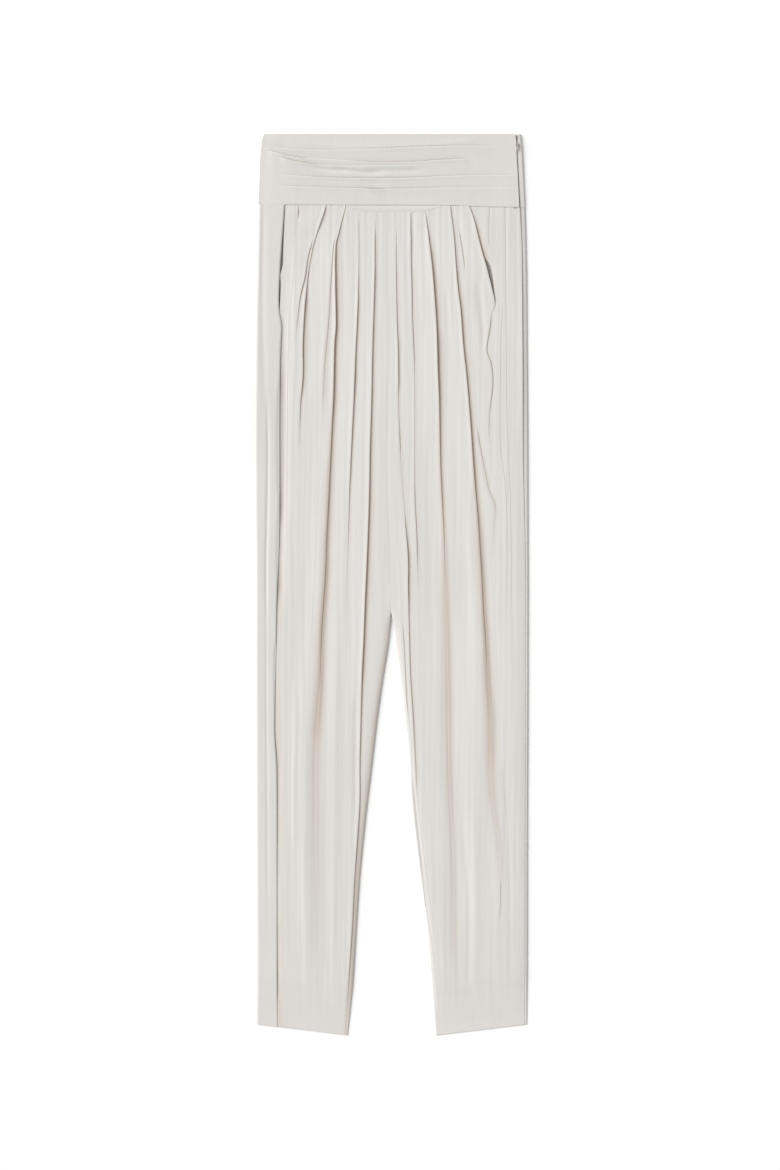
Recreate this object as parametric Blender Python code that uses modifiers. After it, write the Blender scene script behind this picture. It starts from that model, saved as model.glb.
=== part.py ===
"""Drop-crotch trousers with a tucked waistband, laid flat on a surface with the front upwards.

Sizes are in millimetres. "down" is measured from the waist edge towards the hems, "x" from the
centre line towards the right of the picture, and z upwards from the surface the cloth lies on.
Every cloth piece is a wall of one thickness on the middle surface that its functions describe.
"""

import math
from collections import namedtuple

import bmesh
import bpy
from mathutils import Matrix, Vector

MM = 0.001

# Driving sizes
FULL_LENGTH = 1080.6
BAND_DEPTH = 86.0
HEM_SLANT = 13.0
HEM_SLANT_FROM = 700.0
HEM_THINS_FROM = 1010.0
WALL = 1.0
SEAM_GAP = 0.3
CROTCH_DOWN = 573.0
POCKET_END = 204.0
LEFT_POCKET_END = 212.0
LEFT_MOUTH_GAPE = 1.4
LEFT_MOUTH_WIDENS_TO = 150.0
LEFT_MOUTH_NARROWS_FROM = 190.0
BAND_PULLS_PANELS_TO = 250.0

# Heights of the middle surfaces above the ground
BACK_Z = WALL / 2
INNER_PLY_Z = BACK_Z + WALL + SEAM_GAP
FRONT_Z = INNER_PLY_Z + WALL + SEAM_GAP
EDGE_Z = INNER_PLY_Z + 0.1
BAND_HEM_Z = FRONT_Z + 1.7
STAY_Z = FRONT_Z + WALL + SEAM_GAP
HEM_SETTLES = 0.45
WRAP_SWELL = 0.02
ZIP_SEAM_RISE = 0.6
LEFT_WRAP_Z = 4.1
RIGHT_WRAP_Z = 3.0

# A pressed fold has three plies, one over the other
PLY_STEP = WALL + 0.35
FOLD_RISE = 2 * PLY_STEP
FOLD_RUN = 1.9
CREST_MARGIN = 0.4
SOFT_RUN = 13.0
ROOM_FOR_RUN = 0.8
OPEN_CREST_SHARE = 0.1
RISES_OVER = 20.0
PRESSED_FROM = 92.0
PRESSED_OVER = 28.0
OPENS_OVER = 70.0
CROTCH_DROPS_FROM = 60.0
CROTCH_DROPS_TO = 30.0

# Heights down the panels at which a row of points lies, closer where the cloth changes most
PANEL_ROWS = (86, 98, 114, 134, 158, 184, 204, 228, 252, 280, 320, 385, 440, 500, 573,
              606, 648, 700, 757, 822, 890, 957, 1020, 1062, 1080)
BAND_COLUMNS = (0.0, 0.006, 0.016, 0.05, 0.10, 0.19, 0.28, 0.40, 0.52, 0.64, 0.76, 0.86,
                0.92, 0.97, 1.0)

# Outlines, each a row of (down, x)
LEFT_EDGE = ((0, -153.0), (7, -155.4), (30, -157.8), (48, -158.2), (66, -159.0), (86, -159.8),
             (160, -161.4), (250, -163.2), (385, -163.7), (530, -162.8), (700, -162.6),
             (900, -162.0), (1080, -161.4))
RIGHT_EDGE = ((0, 155.0), (20, 157.0), (48, 158.4), (86, 160.2), (160, 162.0), (250, 162.8),
              (385, 163.7), (660, 163.7), (850, 162.9), (1080, 162.6))
CENTRE_SEAM = ((80, -0.6), (160, -1.2), (250, -2.8), (385, -4.9), (480, -3.0), (573, -0.6))
LEFT_INSEAM = ((573, -0.9), (606, -3.6), (648, -10.2), (700, -17.6), (757, -24.2), (822, -31.8),
               (890, -38.5), (957, -43.0), (1020, -47.0), (1080, -52.8))
RIGHT_INSEAM = ((573, -0.3), (606, 5.4), (648, 10.9), (700, 17.2), (757, 23.0), (822, 30.5),
                (890, 37.6), (957, 43.8), (1020, 49.2), (1080, 53.6))
LEFT_SIDE_SEAM = ((86, -127.8), (160, -133.4), (250, -132.5), (330, -131.4), (409, -133.4),
                  (480, -134.4), (559, -137.4), (715, -140.0), (760, -137.6), (854, -136.9),
                  (1080, -136.9))
RIGHT_SIDE_SEAM = ((86, 153.9), (133, 156.4), (250, 157.3), (385, 157.8), (433, 159.0),
                   (505, 160.6), (560, 161.0), (850, 160.4), (1080, 160.1))
BAND_END = ((0, 148.2), (9, 149.7), (16, 149.7), (40, 150.9), (86, 153.2))
BAND_WRAP_END = ((0, 152.2), (9, 151.3), (16, 151.4), (40, 152.6), (86, 155.0))
BAND_BACK_ROWS = (0.0, 9.0, 16.0, 30.0, 48.0, 66.0, BAND_DEPTH)

# The waistband's lower edge, a row of (x, down)
BAND_HEM = ((-160, 84.2), (-115, 85.0), (28, 85.2), (100, 86.8), (160, 87.2))

# Pleats that hang from the waist: where each starts, stops being pressed and dies out, its
# height, how far it laps over the cloth beside it, the points before it, and its line (down, x)
Fold = namedtuple("Fold", "name starts pressed_to ends rise lap points line")
LEFT_FOLDS = (
    Fold("outer", 60, 360, 440, FOLD_RISE, 3.2, 3,
         ((86, -77.5), (109, -83.4), (128, -92.0), (160, -98.6), (217, -104.6), (303, -107.8),
          (385, -110.6), (530, -113.5), (822, -116.0), (1080, -112.0))),
    Fold("major", 60, 560, 900, 3.6, 3.8, 2,
         ((86, -55.4), (116, -60.6), (160, -66.0), (250, -67.8), (385, -72.4), (480, -77.0),
          (530, -79.8), (600, -84.0), (660, -85.0), (757, -91.0), (822, -92.2), (950, -88.0),
          (1080, -80.0))),
    Fold("inner", 118, 445, 610, FOLD_RISE, 3.0, 2,
         ((86, -36.6), (160, -38.3), (250, -42.4), (385, -48.6), (530, -52.0), (660, -56.0),
          (822, -62.0), (1080, -67.5))),
    Fold("long", 100, 840, 1300, FOLD_RISE, 3.4, 2,
         ((86, -19.1), (160, -19.8), (250, -21.0), (385, -25.6), (530, -30.1), (660, -34.7),
          (757, -37.0), (822, -39.0), (890, -43.2), (957, -47.2), (1020, -51.0), (1080, -55.8))),
)
RIGHT_FOLDS = (
    Fold("centre", 118, 770, 835, FOLD_RISE, 3.0, 2,
         ((86, 5.6), (250, 6.6), (320, 9.2), (385, 10.8), (480, 17.8), (530, 21.0), (660, 25.3),
          (757, 31.6), (822, 35.2), (957, 48.0), (1080, 58.0))),
    Fold("short", 98, 500, 545, FOLD_RISE, 3.0, 2,
         ((86, 23.2), (160, 25.3), (250, 27.7), (385, 29.6), (530, 33.0), (660, 40.0),
          (822, 49.0), (957, 59.0), (1080, 68.0))),
    Fold("major", 98, 520, 1010, 3.4, 3.6, 2,
         ((86, 41.4), (160, 49.8), (250, 55.8), (385, 60.6), (530, 67.1), (660, 70.4),
          (822, 74.0), (957, 78.6), (1080, 82.0))),
    Fold("outer", 84, 640, 960, 3.8, 3.8, 2,
         ((86, 72.0), (160, 78.6), (250, 88.2), (385, 100.2), (480, 108.6), (530, 111.7),
          (660, 117.7), (757, 122.0), (822, 127.4), (957, 130.8), (1080, 131.4))),
    Fold("pocket_mouth", 40, 240, 420, 3.0, 4.4, 2,
         ((86, 94.2), (121, 107.4), (152, 118.2), (184, 124.4), (204, 126.6), (228, 119.6),
          (252, 115.4), (277, 121.2), (303, 122.3), (340, 118.2), (385, 114.5), (480, 124.0),
          (660, 134.0), (822, 141.0), (1080, 143.0))),
)

# A tuck fades in over this length at each end, and is pressed between the next two lengths
TUCK_FADE = 14.0
TUCK_OPEN_END = 12.0
TUCK_PRESSED_FROM = 40.0

# Tucks across the waistband: where each begins and ends in x, its height, how far it laps over
# the cloth below it, the points above it, and its line (x, down)
Tuck = namedtuple("Tuck", "name begins ends rise lap points line")
TUCKS = (
    Tuck("first", -128, 112, 1.2, 0.0, 1,
         ((-158, 3.0), (-123, 5.2), (-104, 9.0), (-68, 11.2), (-8, 11.2), (76, 7.8), (107, 5.0),
          (150, 4.0))),
    Tuck("second", -142, 128, FOLD_RISE, 1.8, 1,
         ((-158, 13.5), (-140, 16.6), (-104, 19.0), (-68, 19.2), (-32, 17.9), (4, 16.2),
          (28, 15.2), (64, 14.2), (124, 15.5), (150, 15.8))),
    Tuck("third", -150, 100, FOLD_RISE, 2.2, 1,
         ((-158, 21.0), (-128, 25.6), (-97, 29.2), (-68, 31.8), (-8, 33.5), (28, 33.0),
          (52, 31.3), (95, 29.4), (150, 29.8))),
    Tuck("fourth", -144, 142, FOLD_RISE, 2.0, 2,
         ((-158, 47.4), (-104, 49.8), (-68, 51.5), (-32, 52.9), (28, 52.2), (52, 51.0),
          (100, 48.6), (150, 49.4))),
    Tuck("fifth", -138, 142, FOLD_RISE, 2.0, 2,
         ((-158, 61.4), (-104, 62.5), (-68, 64.2), (-22, 65.9), (28, 65.4), (76, 63.5),
          (136, 64.9), (150, 65.2))),
)

# Pocket bags behind the mouths: left and right sides, top and foot
BAG_TOP = 92.0
BAG_FOOT = 252.0
BAG_ROUNDED_FROM = 0.7
BAG_ROUNDING = 20.0
LEFT_BAG = (-151.0, -88.0)
RIGHT_BAG = (72.0, 144.0)

# Strip of the band's inner ply that shows under its lower edge
STAY_ENDS = (-54.2, 60.0)
STAY_DEPTH = 8.0
STAY_END_DEPTH = 1.2
STAY_POINTS = 13

# Zip tape: its length, how far it reaches left and right of the slit, and how far it keeps
# from the side edge
ZIP_LENGTH = 215.0
TAPE_SIDES = (-5.0, 3.4)
TAPE_FROM_EDGE = 6.2
TAPE_ROWS = (2.0, 9.0, 20.0, 40.0, 60.0, BAND_DEPTH, 110.0, 140.0, 175.0, ZIP_LENGTH)

# Zip: the slider's neck stands in the slit, and the pull swings on the slider's pin
ZIP_X = 150.55
SLIDER_DOWN = 12.5
NECK = (1.0, 4.4)
TOP_PLATE = (3.6, 3.0, 0.35)
TOP_PLATE_Z = 3.95
PIN_Z = 5.5
PIN_RADIUS = 0.32
BARREL_RADIUS = 0.9
BARREL_BORE = 0.62
BARREL_WIDTH = 2.0
PULL_LENGTH = 7.2
PULL_THICKNESS = 0.7
PULL_TAB_Z = -0.2
CHEEK = (0.45, 1.3)
ROUND_SIDES = 16

CLOTH = (0.735, 0.700, 0.650, 1.0)
INNER_CLOTH = (0.690, 0.652, 0.600, 1.0)
TAPE = (0.560, 0.500, 0.430, 1.0)
METAL = (0.700, 0.620, 0.520, 1.0)


def point_at(x, down, z):
    """The place of a point given in millimetres, with the origin under the middle of the cloth."""
    return Vector((x * MM, (FULL_LENGTH / 2 - down) * MM, z * MM))


def eased(value, low, high):
    """The eased share of the way from low to high, kept between 0 and 1."""
    share = min(max((value - low) / (high - low), 0.0), 1.0)
    return share * share * (3.0 - 2.0 * share)


def between(low, high, share):
    return low + (high - low) * share


def read_line(line, place):
    """The value at one place on a smooth curve through the line's points."""
    last = len(line) - 1
    if place <= line[0][0]:
        return line[0][1]
    if place >= line[last][0]:
        return line[last][1]
    index = max(i for i in range(last) if line[i][0] <= place)

    def slope(i):
        before = line[max(i - 1, 0)]
        after = line[min(i + 1, last)]
        return (after[1] - before[1]) / (after[0] - before[0])

    start, end = line[index], line[index + 1]
    width = end[0] - start[0]
    t = (place - start[0]) / width
    return ((2 * t**3 - 3 * t**2 + 1) * start[1] + (t**3 - 2 * t**2 + t) * width * slope(index)
            + (3 * t**2 - 2 * t**3) * end[1] + (t**3 - t**2) * width * slope(index + 1))


def fold_section(nose, top, rise, run, lap, pressed):
    """(across, z) points over a fold: six pressed flat in three plies at 1 to an open step at 0.

    A fold that never laps is a soft step of three points.
    """
    if not lap:
        return [(nose - run / 2, top), (nose, top - rise / 2), (nose + run / 2, top - rise)]
    turn = PLY_STEP / 2
    pressed_points = ((-turn, 0.0), (0.0, 0.25), (-turn, 0.5),
                      (turn - lap, 0.5), (-lap, 0.75), (turn - lap, 1.0))
    step_points = ((-0.5, 0.0), (-0.3, 0.1), (-0.1, 0.34), (0.1, 0.66), (0.3, 0.9), (0.5, 1.0))
    points = []
    for (lapped, lapped_drop), (open_x, open_drop) in zip(pressed_points, step_points):
        across = nose + between(open_x * run, lapped, pressed)
        drop = between(open_drop, lapped_drop, pressed)
        points.append((across, top - rise * drop))
    return points


def fold_state(fold, down):
    """Rise, run and share pressed of a pleat at one height."""
    grown = eased(down, fold.starts, fold.starts + RISES_OVER)
    gone = eased(down, fold.pressed_to, fold.ends)
    opens = 1.0 - eased(down, fold.pressed_to - OPENS_OVER, fold.pressed_to)
    laps_from = max(fold.starts + RISES_OVER, PRESSED_FROM)
    pressed = eased(down, laps_from, laps_from + PRESSED_OVER) * opens
    rise = fold.rise * grown * (1.0 - gone)
    return rise, between(FOLD_RUN, SOFT_RUN, gone), pressed


def tuck_state(tuck, x):
    """Rise, run and share pressed of a waistband tuck at one place across."""
    shown = eased(x, tuck.begins - TUCK_FADE, tuck.begins + TUCK_FADE)
    shown *= 1.0 - eased(x, tuck.ends - TUCK_FADE, tuck.ends + TUCK_FADE)
    pressed = 0.0
    if tuck.lap:
        pressed = eased(x, tuck.begins + TUCK_OPEN_END, tuck.begins + TUCK_PRESSED_FROM)
        pressed *= 1.0 - eased(x, tuck.ends - TUCK_PRESSED_FROM, tuck.ends - TUCK_OPEN_END)
    return tuck.rise * shown, FOLD_RUN, pressed


def climb(share):
    """How the cloth rises from one fold to the crest of the next: late, so that it lies flat first."""
    return share**3


def section_over(start, folds, end_across, low):
    """Points (across, z) from the start point over each fold, which leave the cloth at z = low.

    Each fold is (nose, rise, run, lap, pressed, points before it). The crest is level over the
    lap, so that the three plies lie parallel, and a run is kept within the room between folds.
    """
    points = [start]
    noses = [start[0]] + [fold[0] for fold in folds] + [end_across]
    for index, (nose, rise, run, lap, pressed, count) in enumerate(folds):
        room = min(nose - noses[index], noses[index + 2] - nose)
        over = fold_section(nose, low + rise, rise, min(run, ROOM_FOR_RUN * room), lap, pressed)
        level = between(OPEN_CREST_SHARE * room, lap + CREST_MARGIN, pressed)
        crest_x, crest_z = over[0][0] - level, over[0][1]
        left_x, left_z = points[-1]
        for i in range(1, count + 1):
            share = i / count
            points.append((between(left_x, crest_x, share), between(left_z, crest_z, climb(share))))
        points.extend(over)
    return points


def hem_lift(row, x, inner, edge):
    """How much higher than its row a point lies, because the hem slants up to the side edge."""
    share = (x - inner) / (edge - inner)
    return HEM_SLANT * share * eased(row, HEM_SLANT_FROM, FULL_LENGTH)


def band_hem(x):
    return read_line(BAND_HEM, x)


def panel_down(row, x, inner, edge):
    """Height of a panel's point: along the waistband at the top, along the slanted hem at the foot."""
    top_share = 1.0 - eased(row, BAND_DEPTH, BAND_PULLS_PANELS_TO)
    at_band = (band_hem(x) + SEAM_GAP - BAND_DEPTH) * top_share
    return row + at_band - hem_lift(row, x, inner, edge)


def inner_edge(row, side):
    """x of a panel's inner edge: the centre seam above the crotch, the inseam below it."""
    if row <= CROTCH_DOWN:
        return read_line(CENTRE_SEAM, row) + side * SEAM_GAP / 2
    return read_line(LEFT_INSEAM if side < 0 else RIGHT_INSEAM, row)


def material_of(name, colour, roughness, metallic=0.0):
    material = bpy.data.materials.new(name)
    material.use_nodes = True
    shader = material.node_tree.nodes["Principled BSDF"]
    shader.inputs["Base Color"].default_value = colour
    shader.inputs["Roughness"].default_value = roughness
    shader.inputs["Metallic"].default_value = metallic
    return material


def add_object(name, shape, collection, material):
    """An object made from a bmesh, with its material, in its collection."""
    mesh = bpy.data.meshes.new(name)
    shape.to_mesh(mesh)
    shape.free()
    mesh.materials.append(material)
    made = bpy.data.objects.new(name, mesh)
    collection.objects.link(made)
    return made


def cloth_wall(name, sections, collection, material, cut=None):
    """A cloth wall through rows of section points, each row a list of places.

    cut is (first column, rows) of a slit: the strip of faces between that column and the next
    is left out of the first rows.
    """
    columns = len(sections[0])
    rows = len(sections)
    shape = bmesh.new()
    bmesh.ops.create_grid(shape, x_segments=columns - 1, y_segments=rows - 1, size=1.0)
    opened = []
    for face in shape.faces:
        middle = face.calc_center_median()
        column = int((middle.x + 1.0) / 2.0 * (columns - 1))
        row = int((1.0 - middle.y) / 2.0 * (rows - 1))
        if cut and column == cut[0] and row < cut[1]:
            opened.append(face)
    for vertex in shape.verts:
        column = round((vertex.co.x + 1.0) / 2.0 * (columns - 1))
        row = round((1.0 - vertex.co.y) / 2.0 * (rows - 1))
        vertex.co = sections[row][column]
    bmesh.ops.delete(shape, geom=opened, context="FACES")
    made = add_object(name, shape, collection, material)
    made.data.shade_smooth()
    wall = made.modifiers.new("wall", "SOLIDIFY")
    wall.thickness = WALL * MM
    wall.offset = 0.0
    wall.use_even_offset = False
    wall.use_rim = True
    return made


def left_mouth_gap(row):
    """How far the left front stands off its side seam, where the left pocket's mouth lies open."""
    widened = eased(row, BAND_DEPTH, LEFT_MOUTH_WIDENS_TO)
    return LEFT_MOUTH_GAPE * widened * (1.0 - eased(row, LEFT_MOUTH_NARROWS_FROM, LEFT_POCKET_END))


def front_row(row, side, folds, outer, outer_z):
    """One row of places across a front panel, from left to right."""
    inner = inner_edge(row, side)
    edge = read_line(LEFT_EDGE if side < 0 else RIGHT_EDGE, row)
    loft = 1.0 - HEM_SETTLES * eased(row, HEM_THINS_FROM, FULL_LENGTH)
    lowered = eased(row, CROTCH_DOWN - CROTCH_DROPS_FROM, CROTCH_DOWN + CROTCH_DROPS_TO)
    inner_z = between(FRONT_Z, EDGE_Z, lowered)
    states = []
    for fold in folds:
        rise, run, pressed = fold_state(fold, row)
        states.append((read_line(fold.line, row), rise, run, fold.lap, pressed, fold.points))
    if side < 0:
        section = section_over((outer, outer_z), states, inner, FRONT_Z)
        last = section[-1]
        section.append((between(last[0], inner, 0.6), between(last[1], inner_z, 0.2)))
        section.append((inner, inner_z))
    else:
        section = section_over((inner, inner_z), states, outer, FRONT_Z)
        last = section[-1]
        for share in (0.4, 0.8, 1.0):
            section.append((between(last[0], outer, share), between(last[1], outer_z, climb(share))))
    places = []
    for x, z in section:
        places.append(point_at(x, panel_down(row, x, inner, edge), EDGE_Z + (z - EDGE_Z) * loft))
    return places


def make_front_left(collection, material):
    """The left front, which stands off the side seam along the left pocket's mouth."""
    rows = []
    for row in PANEL_ROWS:
        outer = read_line(LEFT_SIDE_SEAM, row) + SEAM_GAP / 2 + left_mouth_gap(row)
        rows.append(front_row(row, -1, LEFT_FOLDS, outer, FRONT_Z))
    return cloth_wall("front_left", rows, collection, material)


def make_front_right(collection, material):
    """The right front, with the pocket mouth left open from the waist to the mouth's end."""
    rows = []
    for row in PANEL_ROWS:
        outer = read_line(RIGHT_SIDE_SEAM, row) - SEAM_GAP / 2
        outer_z = FRONT_Z + ZIP_SEAM_RISE * eased(row, 100, 160)
        rows.append(front_row(row, 1, RIGHT_FOLDS, outer, outer_z))
    mouth = RIGHT_FOLDS[-1]
    fold_first = 1 + sum(fold.points + 6 for fold in RIGHT_FOLDS[:-1]) + mouth.points
    mouth_rows = sum(1 for row in PANEL_ROWS if row < POCKET_END)
    return cloth_wall("front_right", rows, collection, material, cut=(fold_first + 2, mouth_rows))


def edge_turn(edge, top_z, side):
    """Five (x, z) points of a half round that takes the cloth over its side edge, from below."""
    radius = (top_z - BACK_Z) / 2
    middle_x = edge - side * (radius + WALL / 2)
    points = []
    for angle in (-90, -45, 0, 45, 90):
        turn = math.radians(angle)
        x = middle_x + side * radius * math.cos(turn)
        points.append((x, BACK_Z + radius + radius * math.sin(turn)))
    return points


def back_row(row, side, edge_line, seam_line, wrap_z):
    """One row of places across a back panel: flat beneath, round the side, then over the front."""
    inner = inner_edge(row, side)
    edge = read_line(edge_line, row)
    seam = read_line(seam_line, row) + side * SEAM_GAP / 2
    turn = edge_turn(edge, wrap_z, side)
    loft = 1.0 - HEM_SETTLES / 2 * eased(row, HEM_THINS_FROM, FULL_LENGTH)
    start = turn[0]
    section = [(between(inner, start[0], share), BACK_Z) for share in (0.0, 0.5)]
    section.extend(turn)
    last = turn[-1]
    swell = WRAP_SWELL * abs(seam - last[0])
    for share, lift in ((0.3, swell), (0.65, 0.4 * swell), (1.0, 0.0)):
        section.append((between(last[0], seam, share), last[1] + lift))
    places = []
    for x, z in section:
        places.append(point_at(x, panel_down(row, x, inner, edge), BACK_Z + (z - BACK_Z) * loft))
    return places


def make_back_left(collection, material):
    rows = [back_row(row, -1, LEFT_EDGE, LEFT_SIDE_SEAM, LEFT_WRAP_Z) for row in PANEL_ROWS]
    return cloth_wall("back_left", rows, collection, material)


def make_back_right(collection, material):
    rows = [back_row(row, 1, RIGHT_EDGE, RIGHT_SIDE_SEAM, RIGHT_WRAP_Z) for row in PANEL_ROWS]
    return cloth_wall("back_right", rows, collection, material)


def band_column(share):
    """One column of places down the front of the waistband, over its five tucks."""
    rough_x = between(-158.0, 150.0, share)
    hem = band_hem(rough_x)
    edge_z = between(EDGE_Z, FRONT_Z, eased(share, 0.0, 0.016))
    states = []
    for tuck in TUCKS:
        rise, run, pressed = tuck_state(tuck, rough_x)
        states.append((read_line(tuck.line, rough_x), rise, run, tuck.lap, pressed, tuck.points))
    section = section_over((0.0, edge_z), states, hem, edge_z)
    last = section[-1]
    hem_z = between(edge_z, BAND_HEM_Z, eased(share, 0.0, 0.05) * (1.0 - eased(share, 0.93, 1.0)))
    for part in (0.4, 0.8, 1.0):
        section.append((between(last[0], hem, part), between(last[1], hem_z, climb(part))))
    places = []
    for down, z in section:
        left = read_line(LEFT_EDGE, down) + 0.2
        right = read_line(BAND_END, down)
        places.append(point_at(between(left, right, share), down, z))
    return places


def make_waistband_front(collection, material):
    columns = [band_column(share) for share in BAND_COLUMNS]
    rows = [list(row) for row in zip(*columns)]
    return cloth_wall("waistband_front", rows, collection, material)


def make_waistband_back(collection, material):
    """Flat under the front of the band, then round the right edge to the zip."""
    rows = []
    for down in BAND_BACK_ROWS:
        left = read_line(LEFT_EDGE, down)
        edge = read_line(RIGHT_EDGE, down)
        zip_side = read_line(BAND_WRAP_END, down)
        turn = edge_turn(edge, RIGHT_WRAP_Z, 1)
        section = [(left, BACK_Z), (between(left, turn[0][0], 0.5), BACK_Z)]
        section.extend(turn)
        reach = min(zip_side, turn[-1][0] - 0.4)
        section.append((between(turn[-1][0], reach, 0.5), RIGHT_WRAP_Z + 0.1))
        section.append((reach, RIGHT_WRAP_Z + 0.1))
        rows.append([point_at(x, down * band_hem(x) / BAND_DEPTH, z) for x, z in section])
    return cloth_wall("waistband_back", rows, collection, material)


def make_waist_stay(collection, material):
    """A narrow bowed strip that shows under the middle of the waistband."""
    rows = []
    for share in (0.0, 0.35, 0.7, 1.0):
        row = []
        for i in range(STAY_POINTS):
            along = i / (STAY_POINTS - 1)
            x = between(*STAY_ENDS, along)
            depth = STAY_DEPTH * (1.0 - abs(2 * along - 1.0) ** 4) + STAY_END_DEPTH
            row.append(point_at(x, band_hem(x) + SEAM_GAP + depth * share, STAY_Z))
        rows.append(row)
    return cloth_wall("waist_stay", rows, collection, material)


def make_pocket_bag(name, sides, collection, material):
    """One ply of a pocket bag between the back panel and the front, with a rounded foot."""
    rows = []
    left, right = sides
    for i in range(9):
        share = i / 8
        down = between(BAG_TOP, BAG_FOOT, share)
        rounded = max(0.0, share - BAG_ROUNDED_FROM) / (1.0 - BAG_ROUNDED_FROM)
        pull_in = BAG_ROUNDING * rounded**2
        row = []
        for part in (0.0, 0.5, 1.0):
            x = between(left + pull_in, right - pull_in, part)
            row.append(point_at(x, down, INNER_PLY_Z))
        rows.append(row)
    return cloth_wall(name, rows, collection, material)


def make_zip_tape(collection, material):
    """The tape under the zip's slit, from the waist edge down into the side seam."""
    rows = []
    for down in TAPE_ROWS:
        if down < BAND_DEPTH:
            middle = (read_line(BAND_END, down) + read_line(BAND_WRAP_END, down)) / 2
        else:
            middle = read_line(RIGHT_SIDE_SEAM, down)
        middle = min(middle, read_line(RIGHT_EDGE, down) - TAPE_FROM_EDGE)
        rows.append([point_at(middle + x, down, INNER_PLY_Z) for x in TAPE_SIDES])
    return cloth_wall("zip_tape", rows, collection, material)


def box(size, centre):
    """A bmesh box of a size in millimetres about a centre in metres."""
    shape = bmesh.new()
    bmesh.ops.create_cube(shape, size=1.0)
    scale = Matrix.Diagonal((size[0] * MM, size[1] * MM, size[2] * MM, 1.0))
    bmesh.ops.transform(shape, matrix=Matrix.Translation(centre) @ scale, verts=shape.verts)
    return shape


def rod(radius, length, centre):
    """A bmesh rod along X, of a radius and length in millimetres."""
    shape = bmesh.new()
    bmesh.ops.create_cone(shape, cap_ends=True, segments=ROUND_SIDES, radius1=radius * MM,
                          radius2=radius * MM, depth=length * MM)
    along_x = Matrix.Translation(centre) @ Matrix.Rotation(math.pi / 2, 4, "Y")
    bmesh.ops.transform(shape, matrix=along_x, verts=shape.verts)
    return shape


def join_by(target, tool, operation):
    """A Boolean of one hidden tool on the target."""
    tool.hide_render = True
    tool.display_type = "WIRE"
    joint = target.modifiers.new(tool.name, "BOOLEAN")
    joint.operation = operation
    joint.solver = "EXACT"
    joint.object = tool


def make_zip_slider(collection, tools, material):
    """A neck in the slit, a plate on the cloth, and two cheeks that hold the pin."""
    neck_foot = INNER_PLY_Z + WALL / 2 + SEAM_GAP
    neck_height = TOP_PLATE_Z + TOP_PLATE[2] / 2 - neck_foot
    neck = box((*NECK, neck_height), point_at(ZIP_X, SLIDER_DOWN, neck_foot + neck_height / 2))
    slider = add_object("zip_slider", neck, collection, material)
    cheek_foot = TOP_PLATE_Z + TOP_PLATE[2] / 2
    plate = box(TOP_PLATE, point_at(ZIP_X, SLIDER_DOWN, cheek_foot))
    join_by(slider, add_object("slider_plate", plate, tools, material), "UNION")
    cheek_height = PIN_Z + 2 * PIN_RADIUS - cheek_foot
    for side, name in ((-1, "slider_cheek_left"), (1, "slider_cheek_right")):
        x = ZIP_X + side * (TOP_PLATE[0] - CHEEK[0]) / 2
        cheek = box((*CHEEK, cheek_height), point_at(x, SLIDER_DOWN, cheek_foot + cheek_height / 2))
        join_by(slider, add_object(name, cheek, tools, material), "UNION")
    pin = rod(PIN_RADIUS, TOP_PLATE[0] - CHEEK[0], point_at(ZIP_X, SLIDER_DOWN, PIN_Z))
    join_by(slider, add_object("slider_pin", pin, tools, material), "UNION")
    return slider


def make_zip_pull(collection, tools, material):
    """A flat tab with a barrel at its upper end, its origin on the pin's axis."""
    hinge = Vector((0.0, 0.0, 0.0))
    barrel = rod(BARREL_RADIUS, BARREL_WIDTH, hinge)
    pull = add_object("zip_pull", barrel, collection, material)
    tab_middle = Vector((0.0, -PULL_LENGTH / 2 * MM, PULL_TAB_Z * MM))
    tab = box((BARREL_WIDTH, PULL_LENGTH, PULL_THICKNESS), tab_middle)
    join_by(pull, add_object("pull_tab", tab, tools, material), "UNION")
    bore = rod(BARREL_BORE, BARREL_WIDTH * 2, hinge)
    join_by(pull, add_object("pull_bore", bore, tools, material), "DIFFERENCE")
    place = point_at(ZIP_X, SLIDER_DOWN, PIN_Z)
    for piece in (pull, tools.objects["pull_tab"], tools.objects["pull_bore"]):
        piece.location = place
    return pull


def clear_scene():
    for old in list(bpy.data.objects):
        bpy.data.objects.remove(old)


def new_collection(name):
    made = bpy.data.collections.new(name)
    bpy.context.scene.collection.children.link(made)
    return made


def main():
    clear_scene()
    trousers = new_collection("trousers")
    tools = new_collection("cutters")
    bag_left = material_of("left_bag_cloth", INNER_CLOTH, 0.6)
    bag_right = material_of("right_bag_cloth", INNER_CLOTH, 0.6)
    make_front_left(trousers, material_of("front_left_cloth", CLOTH, 0.55))
    make_front_right(trousers, material_of("front_right_cloth", CLOTH, 0.55))
    make_back_left(trousers, material_of("back_left_cloth", CLOTH, 0.55))
    make_back_right(trousers, material_of("back_right_cloth", CLOTH, 0.55))
    make_waistband_front(trousers, material_of("waistband_front_cloth", CLOTH, 0.5))
    make_waistband_back(trousers, material_of("waistband_back_cloth", CLOTH, 0.5))
    make_waist_stay(trousers, material_of("waist_stay_cloth", CLOTH, 0.55))
    make_pocket_bag("pocket_bag_left", LEFT_BAG, trousers, bag_left)
    make_pocket_bag("pocket_bag_right", RIGHT_BAG, trousers, bag_right)
    make_zip_tape(trousers, material_of("zip_tape_weave", TAPE, 0.7))
    make_zip_slider(trousers, tools, material_of("zip_slider_metal", METAL, 0.35, 0.8))
    make_zip_pull(trousers, tools, material_of("zip_pull_metal", METAL, 0.35, 0.8))


main()
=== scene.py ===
"""Drop-crotch trousers laid flat: thin cloth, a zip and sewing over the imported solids."""

import math
from collections import namedtuple

import bmesh
import bpy
from bpy.props import FloatProperty, FloatVectorProperty, PointerProperty
from bpy.types import Operator, Panel, PropertyGroup
from mathutils import Matrix, Vector


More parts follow.
